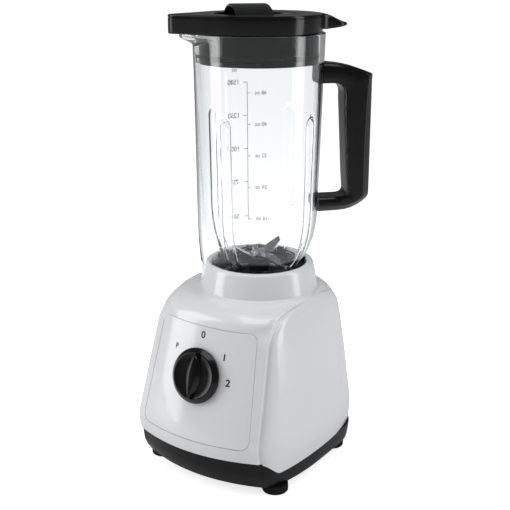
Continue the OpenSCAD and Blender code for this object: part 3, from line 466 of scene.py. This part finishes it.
seam_points = level_outline(seam_side)
seam_heights = [seam_height(y) for _, y in seam_points]
shell_rings = []
for share in (0, 0.04, 0.1, 0.25, 0.45, 0.7, 1):
    heights = [mix(low, skirt_z, share) for low in seam_heights]
    places = [level_outline(z)[i] for i, z in enumerate(heights)]
    shell_rings.append(whole(places, heights))
levels = [58, 64, 72, 80, 90, 100, 110, 120, 128, 134, 138, 141, 144, 146, 148, 150, 152, 153.5, 155, 156,
          157, 158, 158.8, 159.5, 160, 160.4, 160.7, 160.9, 161]
for z_mm in levels:
    points = level_outline(z_mm * mm)
    shell_rings.append(whole(points, [z_mm * mm] * len(points)))
collar_foot_r = 53.6 * mm
top_ring = shell_rings[-1]
angles = [atan2(p.y, p.x) for p in top_ring]


def round_ring(r, z):
    return [Vector((r * cos(a), r * sin(a), z)) for a in angles]


foot_circle = round_ring(collar_foot_r + 1.2 * mm, shoulder_z)
for share, lift in ((0.35, 0.5), (0.7, 0.7), (1, 0.6)):
    shell_rings.append([a.lerp(b, share) + Vector((0, 0, lift * mm)) for a, b in zip(top_ring, foot_circle)])
collar = [(53.9, 162.1), (53.5, 163.2), (52.9, 166), (51.9, 171), (50.9, 176), (50.1, 180), (49.7, 181.6),
          (49.1, 182.8), (48.2, 183.6), (47.2, 184), (45.4, 184), (44.3, 183.8), (43.6, 183.2), (43.3, 182.4),
          (43.3, 172), (43.3, 160), (43.3, 153), (42.6, 152.2), (41, 152), (30, 152), (18, 152), (9.4, 152)]
shell_rings += [round_ring(r * mm, z * mm) for r, z in collar]
shell = loft("base_housing", shell_rings, ends="open")
thicken(shell, wall)


def panel_outline(grow, steps=9):
    """The panel's outline on the front face, as (x, height): a trapezium with round corners."""
    corner = 8 * mm + grow
    corners = []
    for x, z in ((57, 50), (49, 145), (-49, 145), (-57, 50)):
        corners.append(Vector((x * mm + (grow if x > 0 else -grow), z * mm + (grow if z > 100 else -grow))))
    outline = []
    for i, at in enumerate(corners):
        to_last = (corners[i - 1] - at).normalized()
        to_next = (corners[(i + 1) % 4] - at).normalized()
        half = to_last.angle(to_next) / 2
        middle = at + (to_last + to_next).normalized() * (corner / sin(half))
        start, end = at + to_last * (corner / tan(half)), at + to_next * (corner / tan(half))
        for k in range(steps + 1):
            spoke = (start - middle).lerp(end - middle, k / steps).normalized() * corner
            outline.append(middle + spoke)
        straight = corners[(i + 1) % 4]
        after = straight + (at - straight).normalized() * (corner / tan(half))
        outline += [end.lerp(after, k / 10) for k in range(1, 10)]
    return outline


outward = Vector((0, -cos(lean_back), sin(lean_back)))


def panel_rings(grow, lift, shares):
    """Rings of the panel's outline drawn in to its middle, laid on the bowed face and lifted off it."""
    middle = Vector((0, 98 * mm))
    return [[bowed(*middle.lerp(Vector((p.x, p.y)), share)) + outward * lift for p in panel_outline(grow)]
            for share in shares]


inward_shares = (1, 0.97, 0.9, 0.75, 0.5, 0.25, 0.01)
cutter = loft("panel_cutter", panel_rings(0.3 * mm, 4 * mm, inward_shares[::-1])
              + panel_rings(0.3 * mm, -1.5 * mm, inward_shares))
seat = shell.modifiers.new("panel_seat", "BOOLEAN")
seat.object = cutter
seat.operation = "DIFFERENCE"
apply_last(shell)
bpy.data.objects.remove(cutter)
smooth(shell, 32)
white_gloss = moulded("white_gloss", (0.76, 0.76, 0.77), (0.74, 0.745, 0.755), 0.16, 420, 0.05, 0.04,
                      coat=0.35)
dress(shell, white_gloss)
put(shell, "base", "white_plastic", "housing")

# ---------------------------------------------------------------------------
# Control panel: a thin white trim plate let into the front, flush with it and
# edged by a fine groove. Its dial marks are printed in black.
# ---------------------------------------------------------------------------
plate = loft("control_panel_plate", panel_rings(0, -1.5 * mm + 0.05 * mm, inward_shares[::-1])
             + panel_rings(0, -0.3 * mm, (1,)) + panel_rings(-0.25 * mm, 0, inward_shares))
smooth(plate, 30)
dress(plate, white_gloss)
put(plate, "base", "white_plastic", "control_panel")

knob_z = 104 * mm
face_up = Vector((0, sin(lean_back), cos(lean_back)))
face_centre = bowed(0, knob_z)
print_black = moulded("print_black", (0.012, 0.012, 0.013), (0.02, 0.02, 0.021), 0.45, 1500, 0.2)


def flat_text(name, words, size):
    """Text turned into a mesh, about its own middle, fine enough to lie on a curve."""
    bpy.ops.object.select_all(action="DESELECT")
    bpy.ops.object.text_add()
    mark = bpy.context.object
    mark.data.body = words
    mark.data.size = size
    mark.data.offset = size * 0.022
    mark.data.align_x = "CENTER"
    mark.data.align_y = "CENTER"
    bpy.ops.object.convert(target="MESH")
    mark.name = mark.data.name = name
    return mark


def raise_print(mark, height):
    """Gives a print its film thickness and closes it."""
    film = mark.modifiers.new("film", "SOLIDIFY")
    film.thickness = height
    film.offset = 0
    apply_last(mark)
    smooth(mark, 30)


dial_marks = (("P", 54, 33.5, 6.4), ("0", 0, 35.5, 8.4), ("1", -50, 31, 8.4), ("2", -92, 30.5, 8.4))
for word, angle, out_mm, size in dial_marks:
    mark = flat_text(f"dial_mark_{word}", word, size * mm)
    out = out_mm * mm * Vector((-sin(radians(angle)), cos(radians(angle)), 0))
    for vert in mark.data.vertices:
        flat = vert.co + out
        on_face = bowed(flat.x, knob_z + flat.y * cos(lean_back))
        vert.co = on_face + outward * 0.06 * mm
    raise_print(mark, 0.1 * mm)
    dress(mark, print_black)
    put(mark, "base", "white_plastic")

# ---------------------------------------------------------------------------
# Speed knob: glossy black ABS, pushed on the switch spindle. A chamfered ring,
# a dished face and a lens-shaped bar to grip, with its top edge rounded.
# ---------------------------------------------------------------------------

def on_face(points):
    """Moves points from the knob's own frame, with its axis up, to the front face."""
    side = Vector((1, 0, 0))
    return [face_centre + side * p.x + face_up * p.y + outward * p.z for p in points]


knob_profile = [(0, 3.3), (19.2, 3.3), (19.8, 2.8), (20.4, 0.8), (20.8, 0.6), (23.4, 0.6), (23.85, 0.8),
                (24, 1.3), (24, 2.4), (23.85, 2.85), (23.5, 3.2), (20.9, 5.6), (20.4, 5.95), (19.9, 6),
                (19.5, 5.8), (19.2, 5.3), (18.2, 5.1), (14, 4.9), (8, 4.8), (0, 4.8)]
knob_rings = [on_face(circle_ring(max(r * mm, 1e-5), z * mm, 96)) for r, z in knob_profile]
knob = loft("speed_knob", knob_rings)


def lens(half, length, z, steps=48):
    """A lens outline, pointed at both ends, as wide as twice half."""
    r = (half * half + length * length) / (2 * half)
    reach = acos(1 - half / r)
    right = [Vector((r * cos(a) - (r - half), r * sin(a), z))
             for a in (reach * (2 * i / steps - 1) for i in range(steps))]
    return right + [Vector((-p.x, -p.y, p.z)) for p in right]


bar_rings = []
for half, length, z in ((7.2, 20.2, 4), (7.2, 20.2, 5.2), (6, 19.9, 6.6), (4.9, 19.6, 7.8), (4.1, 19.3, 8.7),
                        (3.6, 19, 9.1), (3, 18.6, 9.35), (2, 17.8, 9.47), (0.3, 16.5, 9.5)):
    bar_rings.append(lens(half * mm, length * mm, z * mm))
bar = loft("knob_bar", [on_face(ring) for ring in bar_rings])


def join_solid(piece, added):
    """Makes two overlapping solids one, as one moulding."""
    union = piece.modifiers.new("union", "BOOLEAN")
    union.object = added
    union.operation = "UNION"
    apply_last(piece)
    bpy.data.objects.remove(added)


join_solid(knob, bar)
smooth(knob, 28)
black_gloss = moulded("black_gloss", (0.003, 0.003, 0.0034), (0.005, 0.005, 0.0055), 0.13, 420, 0.06, 0.06,
                      shine=0.35)
dress(knob, black_gloss)
put(knob, "knob", "black_gloss", "knob")

# ---------------------------------------------------------------------------
# Blade unit: a black glass-filled nylon collar screws over the jug's neck and
# holds the hub, the seal and the ground steel blades on their spindle.
# ---------------------------------------------------------------------------
black_matte = moulded("black_matte", (0.006, 0.006, 0.006), (0.011, 0.011, 0.0115), 0.38, 1500, 0.45,
                      shine=0.25)
blade_steel = banded("blade_steel", (0.74, 0.75, 0.77), (0.66, 0.67, 0.69), 0.16, 0.35 * mm, "X")
grey_rubber = moulded("grey_rubber", (0.2, 0.2, 0.21), (0.26, 0.26, 0.27), 0.6, 1300, 0.6)
for node in ("blade_collar", "blade_base", "drive_coupling", "driven_coupling"):
    dress(node, black_matte)
for node in ("lower_blade", "upper_blade"):
    dress(node, blade_steel)
for node in ("blade_spindle", "blade_washers", "blade_nut"):
    dress(node, ground_steel)
for node in ("collar_gasket", "shaft_seal"):
    dress(node, grey_rubber)
dress("lid_seal", rubber)

# ---------------------------------------------------------------------------
# Jug: one clear styrene moulding, 2.4 mm thick at its waist. A round shoulder runs
# down to the neck, the rim draws out into a spout, and four ribs line the wall.
# ---------------------------------------------------------------------------
jug_low, jug_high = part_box("jug")
rim_z = jug_high.z
foot_z = jug_low.z
neck_z = foot_z + 14.5 * mm
waist_z = neck_z + 49 * mm
spout_turn = radians(225)
spout_low = rim_z - 10.3 * mm
rib_top = rim_z - 69 * mm
rib_half = 5 * mm
# Radii of the jug's wall at its neck, waist and rim
outside_radii = (37.5 * mm, 52.4 * mm, 57 * mm)
inside_radii = (35 * mm, 50 * mm, 53.2 * mm)


def jug_radius(z, neck, waist, rim):
    """Radius of the jug's wall at a height: neck, round shoulder, then a slight flare to the rim."""
    if z <= neck_z:
        return neck
    if z >= waist_z:
        return mix(waist, rim, (z - waist_z) / (rim_z - waist_z))
    sweep = radians(63)
    tall = (waist_z - neck_z) / sin(sweep)
    wide = (waist - neck) / (1 - cos(sweep))
    t = (waist_z - z) / tall
    return waist - wide * (1 - sqrt(1 - t * t))


def spouted(radius, angle, tip):
    """The wall drawn out to a tip: a round wall with two straight flanks that meet in a rounded beak."""
    off = abs((angle - spout_turn + pi) % (2 * pi) - pi)
    if tip <= radius:
        return radius
    reach = acos(radius / tip)
    off = hypot(off, 0.07)
    if off >= reach:
        return radius
    return radius / cos(reach - off)


def rib_rise(angle, radius, z):
    """How much of a rib's full height stands at a place on the inner wall: ribs are inverted Us."""
    quarter = (angle + pi / 4) % (pi / 2) - pi / 4
    across = abs(quarter * radius)
    arch_foot = rib_top - rib_half
    reach = across if z < arch_foot else hypot(across, z - arch_foot)
    away = abs(reach - rib_half)
    return 1 - ramp((away - 0.4 * mm) / (1.0 * mm))


jug_angles = []
for quarter in range(4):
    jug_angles += [quarter * pi / 2 + radians(-10 + 20 * i / 28) for i in range(28)]
    jug_angles += [quarter * pi / 2 + radians(10 + 70 * i / 26) for i in range(26)]


def jug_ring(z, inside):
    """One ring of the jug's outer or inner wall."""
    lift = ramp((z - spout_low) / (rim_z - 2 * mm - spout_low))
    ring = []
    for angle in jug_angles:
        if inside:
            r = jug_radius(z, *inside_radii)
            r = spouted(r, angle, mix(54, 69.6, lift) * mm) - 1.3 * mm * rib_rise(angle, r, z)
        else:
            r = spouted(jug_radius(z, *outside_radii), angle, mix(57, 71.8, lift) * mm)
        ring.append(Vector((r * cos(angle), r * sin(angle), z)))
    return ring


shoulder = [neck_z + (waist_z - neck_z) * i / 14 for i in range(1, 15)]
body = [waist_z + 9 * mm * i for i in range(1, 9)]
body += [rib_top - 13 * mm + 0.9 * mm * i for i in range(17)]
body += [rib_top + 6 * mm * i for i in range(1, 10)]
lip = [spout_low + (rim_z - spout_low) * i / 10 for i in range(11)]
heights = [foot_z, foot_z + 7 * mm, neck_z - 1 * mm, neck_z, *shoulder, *body, *lip]
heights = sorted(set(round(z, 6) for z in heights if z <= rim_z))
jug_rings = [jug_ring(z, False) for z in heights] + [jug_ring(z, True) for z in reversed(heights)]
jug_rings.append(jug_rings[0])
jug = loft("clear_jug", jug_rings, ends="open")
rounding = jug.modifiers.new("rim_edges", "BEVEL")
rounding.width = 0.5 * mm
rounding.segments = 2
rounding.angle_limit = radians(50)
apply_last(jug)
smooth(jug, 40)


def clear_plastic():
    """Clear styrene: light passes straight through to what it stands over, and gloss comes from its skin."""
    material = bpy.data.materials.new("clear_plastic")
    material.use_nodes = True
    nodes, link = material.node_tree.nodes, material.node_tree.links.new
    shader, out = nodes["Principled BSDF"], nodes["Material Output"]
    shader.inputs["Transmission Weight"].default_value = 1
    shader.inputs["IOR"].default_value = 1.5
    shader.inputs["Metallic"].default_value = 0
    place = nodes.new("ShaderNodeTexCoord")
    surface = nodes.new("ShaderNodeGroup")
    surface.node_tree = moulded_surface
    surface.inputs["Colour"].default_value = (0.975, 0.985, 0.985, 1)
    surface.inputs["Deep Colour"].default_value = (0.965, 0.975, 0.98, 1)
    surface.inputs["Grain Size"].default_value = 60
    surface.inputs["Grain Depth"].default_value = 0.04
    surface.inputs["Roughness"].default_value = 0.015
    surface.inputs["Marks"].default_value = 0.03
    link(place.outputs["Object"], surface.inputs["Place"])
    link(surface.outputs["Colour"], shader.inputs["Base Color"])
    link(surface.outputs["Roughness"], shader.inputs["Roughness"])
    link(surface.outputs["Normal"], shader.inputs["Normal"])
    path = nodes.new("ShaderNodeLightPath")
    through = nodes.new("ShaderNodeBsdfTransparent")
    through.inputs["Color"].default_value = (0.93, 0.94, 0.94, 1)
    blend = nodes.new("ShaderNodeMixShader")
    link(path.outputs["Is Shadow Ray"], blend.inputs["Fac"])
    link(shader.outputs["BSDF"], blend.inputs[1])
    link(through.outputs["BSDF"], blend.inputs[2])
    link(blend.outputs["Shader"], out.inputs["Surface"])
    return material


dress(jug, clear_plastic())
put(jug, "jug", "clear_plastic", "jug")

# ---------------------------------------------------------------------------
# Measuring scale: white print on the outside of the jug's wall, at its back left,
# with millilitres on one side of a line and fluid ounces on the other.
# ---------------------------------------------------------------------------
scale_turn = radians(135)
print_white = moulded("print_white", (0.75, 0.75, 0.76), (0.7, 0.7, 0.71), 0.5, 1500, 0.2)
millilitres = ((500, 212), (750, 245), (1000, 276.5), (1250, 307.5), (1500, 338))
ounces = ((16, 209), (24, 239.5), (32, 269.5), (40, 299), (48, 328))


def wrap(mark, x, z):
    """Lays a flat mark on the jug's wall, with its middle x along the wall from the scale's line."""
    for vert in mark.data.vertices:
        height = z + vert.co.y
        r = jug_radius(height, *outside_radii) + 0.05 * mm
        turn = scale_turn + (x + vert.co.x) / r
        vert.co = Vector((r * cos(turn), r * sin(turn), height))
    mark.data.update()


def stroke(name, width, height, x, z):
    """A straight printed line, cut fine enough to follow the wall."""
    bpy.ops.object.select_all(action="DESELECT")
    bpy.ops.mesh.primitive_grid_add(x_subdivisions=4, y_subdivisions=24, size=1)
    line = bpy.context.object
    line.name = line.data.name = name
    for vert in line.data.vertices:
        vert.co = Vector((vert.co.x * width, vert.co.y * height, 0))
    wrap(line, x, z)
    return line


marks = [stroke("scale_line", 0.7 * mm, 130 * mm, 0, 273 * mm)]
for amount, z in millilitres:
    marks.append(stroke(f"tick_{amount}", 4 * mm, 0.7 * mm, 2 * mm, z * mm))
    number = flat_text(f"number_{amount}", str(amount), 6.4 * mm)
    wrap(number, 14 * mm, z * mm)
    marks.append(number)
for amount, z in ounces:
    marks.append(stroke(f"tick_{amount}", 3 * mm, 0.7 * mm, -1.5 * mm, z * mm))
    number = flat_text(f"number_{amount}", f"{amount} oz", 5.2 * mm)
    wrap(number, -13 * mm, z * mm)
    marks.append(number)
unit_sign = flat_text("unit_ml", "ml", 5.6 * mm)
wrap(unit_sign, 13 * mm, 349 * mm)
marks.append(unit_sign)
bpy.ops.object.select_all(action="DESELECT")
for mark in marks:
    mark.select_set(True)
bpy.context.view_layer.objects.active = marks[0]
bpy.ops.object.join()
scale_print = bpy.context.object
scale_print.name = scale_print.data.name = "measuring_scale"
raise_print(scale_print, 0.08 * mm)
dress(scale_print, print_white)
put(scale_print, "jug", "clear_plastic")

# ---------------------------------------------------------------------------
# Handle: a glossy black ABS loop, screwed from below to two bosses on the jug.
# Its outer edge has a broad chamfer, and its inner edge is rounded for the hand.
# ---------------------------------------------------------------------------
handle_low, handle_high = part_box("jug_handle")
arm_top = handle_high.z - 0.2 * mm
arm_foot = handle_low.z
handle_turn = radians(45)
along_arm = Vector((cos(handle_turn), sin(handle_turn), 0))
across_arm = Vector((-sin(handle_turn), cos(handle_turn), 0))

top, low = arm_top / mm, arm_foot / mm
outer = [(52, top + 0.3), (57, top), (63, top - 0.6), (70, top - 1.4), (77, top - 2.7), (84, top - 4.5),
         (91, top - 6.9), (97, top - 9.2), (99.6, top - 10.3), (100.5, top - 11.0), (101, top - 12.2),
         (101, top - 16), (101, top - 40), (101, top - 70), (101, top - 100), (101, low + 17),
         (100.6, low + 13.5), (98.6, low + 10.6), (95, low + 7.7), (90, low + 4.7), (84, low + 2.1),
         (78, low + 0.7), (70, low + 0.1), (62, low), (52, low)]
inner = [(52, top - 18), (57, top - 18), (61, top - 18), (64, top - 18), (67, top - 18.2), (69.5, top - 19),
         (71.6, top - 20.6), (73, top - 22.6), (73.7, top - 24.6), (74, top - 26.4), (74.1, top - 28.4),
         (74.2, top - 34), (75.2, top - 52), (76.4, top - 74), (77.7, top - 98), (79, low + 19.6),
         (78.9, low + 17.6), (78.2, low + 16), (77, low + 14.8), (75.2, low + 14.2), (73, low + 14),
         (70, low + 14), (66, low + 14), (60, low + 14), (52, low + 14)]
chamfers = [2.6] * 8 + [4, 5.2, 6.4] + [7.4] * 5 + [7.2, 7, 6.8, 6.6] + [6.4] * 5
handle_rings = []
for (ox, oz), (ix, iz), chamfer in zip(outer, inner, chamfers):
    thick = hypot(ox - ix, oz - iz)
    c = chamfer
    half_section = [(0, 0), (0, 6), (0, 9.6), (0.45, 11.2), (1.5, 12.4), (3, 13), (thick * 0.42, 13),
                    (thick - c - 0.8, 13), (thick - c - 0.2, 12.85), (thick - c + 0.4, 12.4),
                    (thick - c * 0.5, 12.7 - c * 0.5 - 0.3), (thick - 1.0, 13 - c + 0.5),
                    (thick - 0.35, 12.6 - c), (thick, 11.4 - c), (thick, 0)]
    ring = []
    for s, q in half_section + [(s, -q) for s, q in reversed(half_section[1:-1])]:
        x = mix(ix, ox, s / thick) * mm
        z = mix(iz, oz, s / thick) * mm
        ring.append(along_arm * x + across_arm * q * mm + Vector((0, 0, z)))
    handle_rings.append(ring)
handle = loft("handle_loop", handle_rings)
jug_core = turned("jug_core", [(0, 215 * mm), (52.3 * mm, 215 * mm), (52.5 * mm, waist_z),
                               (57.1 * mm, rim_z), (0, rim_z)], 128)
fit = handle.modifiers.new("jug_fit", "BOOLEAN")
fit.object = jug_core
fit.operation = "DIFFERENCE"
apply_last(handle)
bpy.data.objects.remove(jug_core)
smooth(handle, 24)
dress(handle, black_gloss)
put(handle, "jug", "black_gloss", "jug_handle")

# ---------------------------------------------------------------------------
# Lid: glossy black ABS. A band sits on the rim, with a nose over the spout and
# a swept thumb tab over the handle, and a plug below it carries the seal.
# ---------------------------------------------------------------------------
lid_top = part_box("lid")[1].z
lid_r = 54.2 * mm
nose_r = 8 * mm
nose_centre = 69.5 * mm
cap_centre = Vector((cos(spout_turn), sin(spout_turn), 0)) * 9 * mm


def lid_outline(inset):
    """Plan of the lid: a round band and a smaller round nose joined by two straight flanks."""
    big, small = lid_r - inset, nose_r - inset
    lean = acos((big - small) / nose_centre)
    turns = [lean + (2 * pi - 2 * lean) * i / 110 for i in range(111)]
    points = [(big * cos(a), big * sin(a)) for a in turns]
    start = Vector(points[-1])
    beak = [Vector((nose_centre + small * cos(a), small * sin(a)))
            for a in (-lean + 2 * lean * i / 20 for i in range(21))]
    points += [tuple(start.lerp(beak[0], i / 12)) for i in range(1, 12)]
    points += [tuple(p) for p in beak]
    points += [tuple(beak[-1].lerp(Vector(points[0]), i / 12)) for i in range(1, 12)]
    turn = Vector((cos(spout_turn), sin(spout_turn)))
    return [Vector((x * turn.x - y * turn.y, x * turn.y + y * turn.x)) for x, y in points]


lid_angles = [atan2(p.y, p.x) for p in lid_outline(0)]


def lid_circle(r, z, centre=Vector()):
    return [centre + Vector((r * mm * cos(a), r * mm * sin(a), z)) for a in lid_angles]


def lid_band(inset, z, lip=0.0):
    """A ring of the lid's outline; the lip lifts its nose."""
    ring = []
    for p in lid_outline(inset * mm):
        lifted = lip * ramp((p.length - 60 * mm) / (14 * mm))
        ring.append(Vector((p.x, p.y, z + lifted * mm)))
    return ring


plug_foot = rim_z - 25 * mm
lid_rings = [lid_circle(33.7, lid_top - 8 * mm, cap_centre), lid_circle(49, lid_top - 8 * mm)]
for r, lift in ((49, 0.5), (49.5, 0), (50.7, 0), (51.2, 0.6), (51.2, 3.8), (50.2, 3.9), (50.2, 8.2),
                (51.2, 8.3), (51.2, 12.8), (50.9, 13), (50.9, 13.6), (51.2, 13.8)):
    lid_rings.append(lid_circle(r, plug_foot + lift * mm))
lid_rings.append(lid_circle(51.2, rim_z))
for inset, lift in ((0.9, 0), (0.2, 0.3), (0, 1)):
    lid_rings.append(lid_band(inset, rim_z + lift * mm))
for inset, drop in ((0, 3.2), (0.5, 2.9), (0.5, 2.4), (0, 2.1), (0, 1.2), (0.35, 0.45), (1.1, 0.05), (2, 0)):
    lid_rings.append(lid_band(inset, lid_top - drop * mm))
lid_rings += [lid_band(5, lid_top, -0.4), lid_band(6, lid_top, -0.9)]
for r, drop in ((41.4, 0), (40.8, 0.05), (40.3, 0.5), (40.2, 2.5), (33.7, 2.5)):
    lid_rings.append(lid_circle(r, lid_top - drop * mm, cap_centre))
lid_rings.append(lid_rings[0])
lid = loft("lid_moulding", lid_rings, ends="open")

tab_top = [(47, 0), (52, 0), (55, -0.25), (58, -1.0), (61, -2.2), (64, -3.7), (67, -5.2), (70, -6.5),
           (73, -7.4), (75.2, -8.1), (76.4, -8.7), (77, -9.6)]
tab_foot = [(47, -13.6), (58, -13.3), (64, -12.7), (70, -11.9), (74, -11.2), (76.4, -10.5), (77, -10.1)]
tab_half = [(47, 17), (52, 17.4), (56, 15.6), (60, 14.4), (66, 13.8), (70, 13), (73, 11.4), (75.2, 8.8),
            (76.4, 6), (77, 2.5)]
tab_rings = []
for x, rise_top in tab_top:
    half = along(x, tab_half)
    z_top, z_low = rise_top, along(x, tab_foot)
    deep = z_top - z_low
    soft = min(1.6, deep * 0.4)
    section = [(0, z_top), (half * 0.5, z_top), (half - 2 * soft, z_top - 0.02 * deep),
               (half - soft, z_top - 0.1 * soft), (half - 0.3 * soft, z_top - 0.4 * soft),
               (half, z_top - soft), (half, z_low + soft),
               (half - 0.3 * soft, z_low + 0.4 * soft), (half - soft, z_low), (half * 0.5, z_low), (0, z_low)]
    ring = [along_arm * x * mm + across_arm * q * mm + Vector((0, 0, lid_top + z * mm))
            for q, z in section + [(-q, z) for q, z in reversed(section[1:-1])]]
    tab_rings.append(ring)
tab = loft("lid_tab", tab_rings)
softer = tab.modifiers.new("softer", "SUBSURF")
softer.levels = softer.render_levels = 2
apply_last(tab)
inner_plug = turned("lid_hollow", [(0, 380 * mm), (48.9 * mm, 380 * mm), (48.9 * mm, lid_top - 8.1 * mm),
                                   (0, lid_top - 8.1 * mm)], 96)
clear = tab.modifiers.new("clear", "BOOLEAN")
clear.object = inner_plug
clear.operation = "DIFFERENCE"
apply_last(tab)
bpy.data.objects.remove(inner_plug)
join_solid(lid, tab)
smooth(lid, 30)
dress(lid, black_gloss)
put(lid, "lid", "black_gloss", "lid")

# ---------------------------------------------------------------------------
# Measuring cap: a black cup that drops into the lid. Its disc lies flush, with
# a finger well in it, and an arched strip spans the well as its grip.
# ---------------------------------------------------------------------------
cap_low, cap_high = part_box("measuring_cap")
bridge_turn = radians(-45)
along_bridge = Vector((cos(bridge_turn), sin(bridge_turn), 0))
across_bridge = Vector((-sin(bridge_turn), cos(bridge_turn), 0))
cap_steps = 128


def well_ring(half, r, z):
    """The finger well's outline: a circle cut to a slot along the bridge."""
    ring = []
    for i in range(cap_steps):
        a = 2 * pi * i / cap_steps
        x = r * cos(a)
        soft = half * x / (abs(x) ** 6 + half ** 6) ** (1 / 6)
        flat = cap_centre + along_bridge * soft + across_bridge * r * sin(a)
        ring.append(Vector((flat.x, flat.y, z)))
    return ring


def cap_circle(r, z):
    turns = [2 * pi * i / cap_steps for i in range(cap_steps)]
    return [cap_centre + (along_bridge * cos(a) + across_bridge * sin(a)) * r * mm + Vector((0, 0, z))
            for a in turns]


well_floor = lid_top - 12 * mm
cap_foot = cap_low.z
cap_rings = []
for half, r, z in ((0.1, 0.1, well_floor), (20, 27, well_floor), (21.3, 28.5, well_floor + 0.8 * mm),
                   (21.7, 29, well_floor + 3 * mm), (22, 29.2, lid_top - 1.2 * mm),
                   (22.4, 29.6, lid_top - 0.3 * mm), (23.3, 30.4, lid_top)):
    cap_rings.append(well_ring(half * mm, r * mm, z))
for r, z in ((35, lid_top), (38.6, lid_top), (39.3, lid_top - 0.15 * mm), (39.7, lid_top - 0.6 * mm),
             (39.8, lid_top - 1.2 * mm), (39.8, lid_top - 2.5 * mm), (33.3, lid_top - 2.5 * mm),
             (33.3, cap_foot + 0.5 * mm), (32.9, cap_foot), (31.7, cap_foot), (31.3, cap_foot + 0.5 * mm),
             (31.3, well_floor - 3 * mm), (30, well_floor - 2 * mm), (0.1, well_floor - 2 * mm)):
    cap_rings.append(cap_circle(r, z))
cap = loft("cap_cup", cap_rings)

bridge_half, bridge_sag = 36.8, 10.5
bridge_r = (bridge_half ** 2 + bridge_sag ** 2) / (2 * bridge_sag) * mm
strip_half = 16 * mm
strip_end_r = 39.6 * mm
bridge_rings = []
for i in range(41):
    x = mix(-37.6, 37.6, i / 40) * mm
    z = cap_high.z - bridge_r + sqrt(bridge_r ** 2 - x * x)
    lean = Vector((x, 0, z - cap_high.z + bridge_r)).normalized()
    out = along_bridge * lean.x + Vector((0, 0, lean.z))
    middle = cap_centre + along_bridge * x + Vector((0, 0, z))
    half = min(strip_half, sqrt(strip_end_r ** 2 - x * x))
    section = [(0, 0), (half - 2.6 * mm, 0), (half - 1 * mm, -0.12 * mm), (half - 0.25 * mm, -0.5 * mm),
               (half, -1.2 * mm), (half - 0.2 * mm, -2 * mm), (half - 0.9 * mm, -2.5 * mm),
               (half - 2 * mm, -2.6 * mm), (0, -2.6 * mm)]
    bridge_rings.append([middle + across_bridge * q + out * d
                         for q, d in section + [(-q, d) for q, d in reversed(section[1:-1])]])
bridge = loft("cap_bridge", bridge_rings)
join_solid(cap, bridge)
smooth(cap, 30)
dress(cap, black_gloss)
put(cap, "cap", "black_gloss", "measuring_cap")

# ---------------------------------------------------------------------------
# Studio: a plain pale floor, one large soft light each side and one overhead. The
# surroundings look white directly but dim in reflections, so that black stays black.
# ---------------------------------------------------------------------------
bpy.ops.object.select_all(action="DESELECT")
bpy.ops.mesh.primitive_plane_add(size=14, location=(0, 0, 0))
floor = bpy.context.object
floor.name = "floor"
pale = moulded("floor_pale", (0.86, 0.86, 0.86), (0.83, 0.83, 0.83), 0.5, 40, 0.02)


def seen_directly(nodes, link):
    """1 where a ray comes straight from the camera or through the clear jug, else 0."""
    path = nodes.new("ShaderNodeLightPath")
    either = nodes.new("ShaderNodeMath")
    either.operation = "MAXIMUM"
    link(path.outputs["Is Camera Ray"], either.inputs[0])
    link(path.outputs["Is Transmission Ray"], either.inputs[1])
    unreflected, both = nodes.new("ShaderNodeMath"), nodes.new("ShaderNodeMath")
    unreflected.operation, both.operation = "LESS_THAN", "MULTIPLY"
    link(path.outputs["Glossy Depth"], unreflected.inputs[0])
    link(unreflected.outputs["Value"], both.inputs[0])
    link(either.outputs["Value"], both.inputs[1])
    return path, both


nodes, link = pale.node_tree.nodes, pale.node_tree.links.new
seen = seen_directly(nodes, link)[1]
glow = nodes.new("ShaderNodeMath")
glow.operation = "MULTIPLY"
glow.inputs[1].default_value = 0.74
link(seen.outputs["Value"], glow.inputs[0])
link(glow.outputs["Value"], nodes["Principled BSDF"].inputs["Emission Strength"])
nodes["Principled BSDF"].inputs["Emission Color"].default_value = (1, 1, 1, 1)
dress(floor, pale)

world = bpy.data.worlds.new("studio")
bpy.context.scene.world = world
world.use_nodes = True
nodes, link = world.node_tree.nodes, world.node_tree.links.new
sky = nodes["Background"]
sky.inputs["Color"].default_value = (0.98, 0.985, 1, 1)
path, seen = seen_directly(nodes, link)
around, level = nodes.new("ShaderNodeMapRange"), nodes.new("ShaderNodeMapRange")
around.inputs["To Min"].default_value = 0.42
around.inputs["To Max"].default_value = 0.13
level.inputs["To Max"].default_value = 1.05
link(path.outputs["Is Glossy Ray"], around.inputs["Value"])
link(around.outputs["Result"], level.inputs["To Min"])
link(seen.outputs["Value"], level.inputs["Value"])
link(level.outputs["Result"], sky.inputs["Strength"])
bpy.context.scene.view_settings.view_transform = "Standard"


def softbox(name, place, target, width, height, power):
    lamp = bpy.data.lights.new(name, "AREA")
    lamp.shape = "RECTANGLE"
    lamp.size = width
    lamp.size_y = height
    lamp.energy = power
    holder = bpy.data.objects.new(name, lamp)
    bpy.context.scene.collection.objects.link(holder)
    holder.location = place
    holder.rotation_euler = (Vector(target) - Vector(place)).to_track_quat("-Z", "Y").to_euler()


softbox("softbox_left", (-0.85, -0.75, 0.55), (0, 0, 0.2), 0.45, 1.1, 5.5)
softbox("softbox_right", (0.95, 0.35, 0.5), (0, 0, 0.25), 0.3, 1.1, 3.4)
softbox("softbox_top", (0.1, -0.2, 1.5), (0, 0, 0.1), 1.2, 0.9, 8)

lens_data = bpy.data.cameras.new("camera")
lens_data.lens = 68.5
lens_data.sensor_width = 36
lens_data.shift_x = -0.0075
camera = bpy.data.objects.new("camera", lens_data)
bpy.context.scene.collection.objects.link(camera)
camera.location = (0.4657, -0.7063, 0.4484)
camera.rotation_euler = (radians(72.85), 0, radians(33.4))
bpy.context.scene.camera = camera
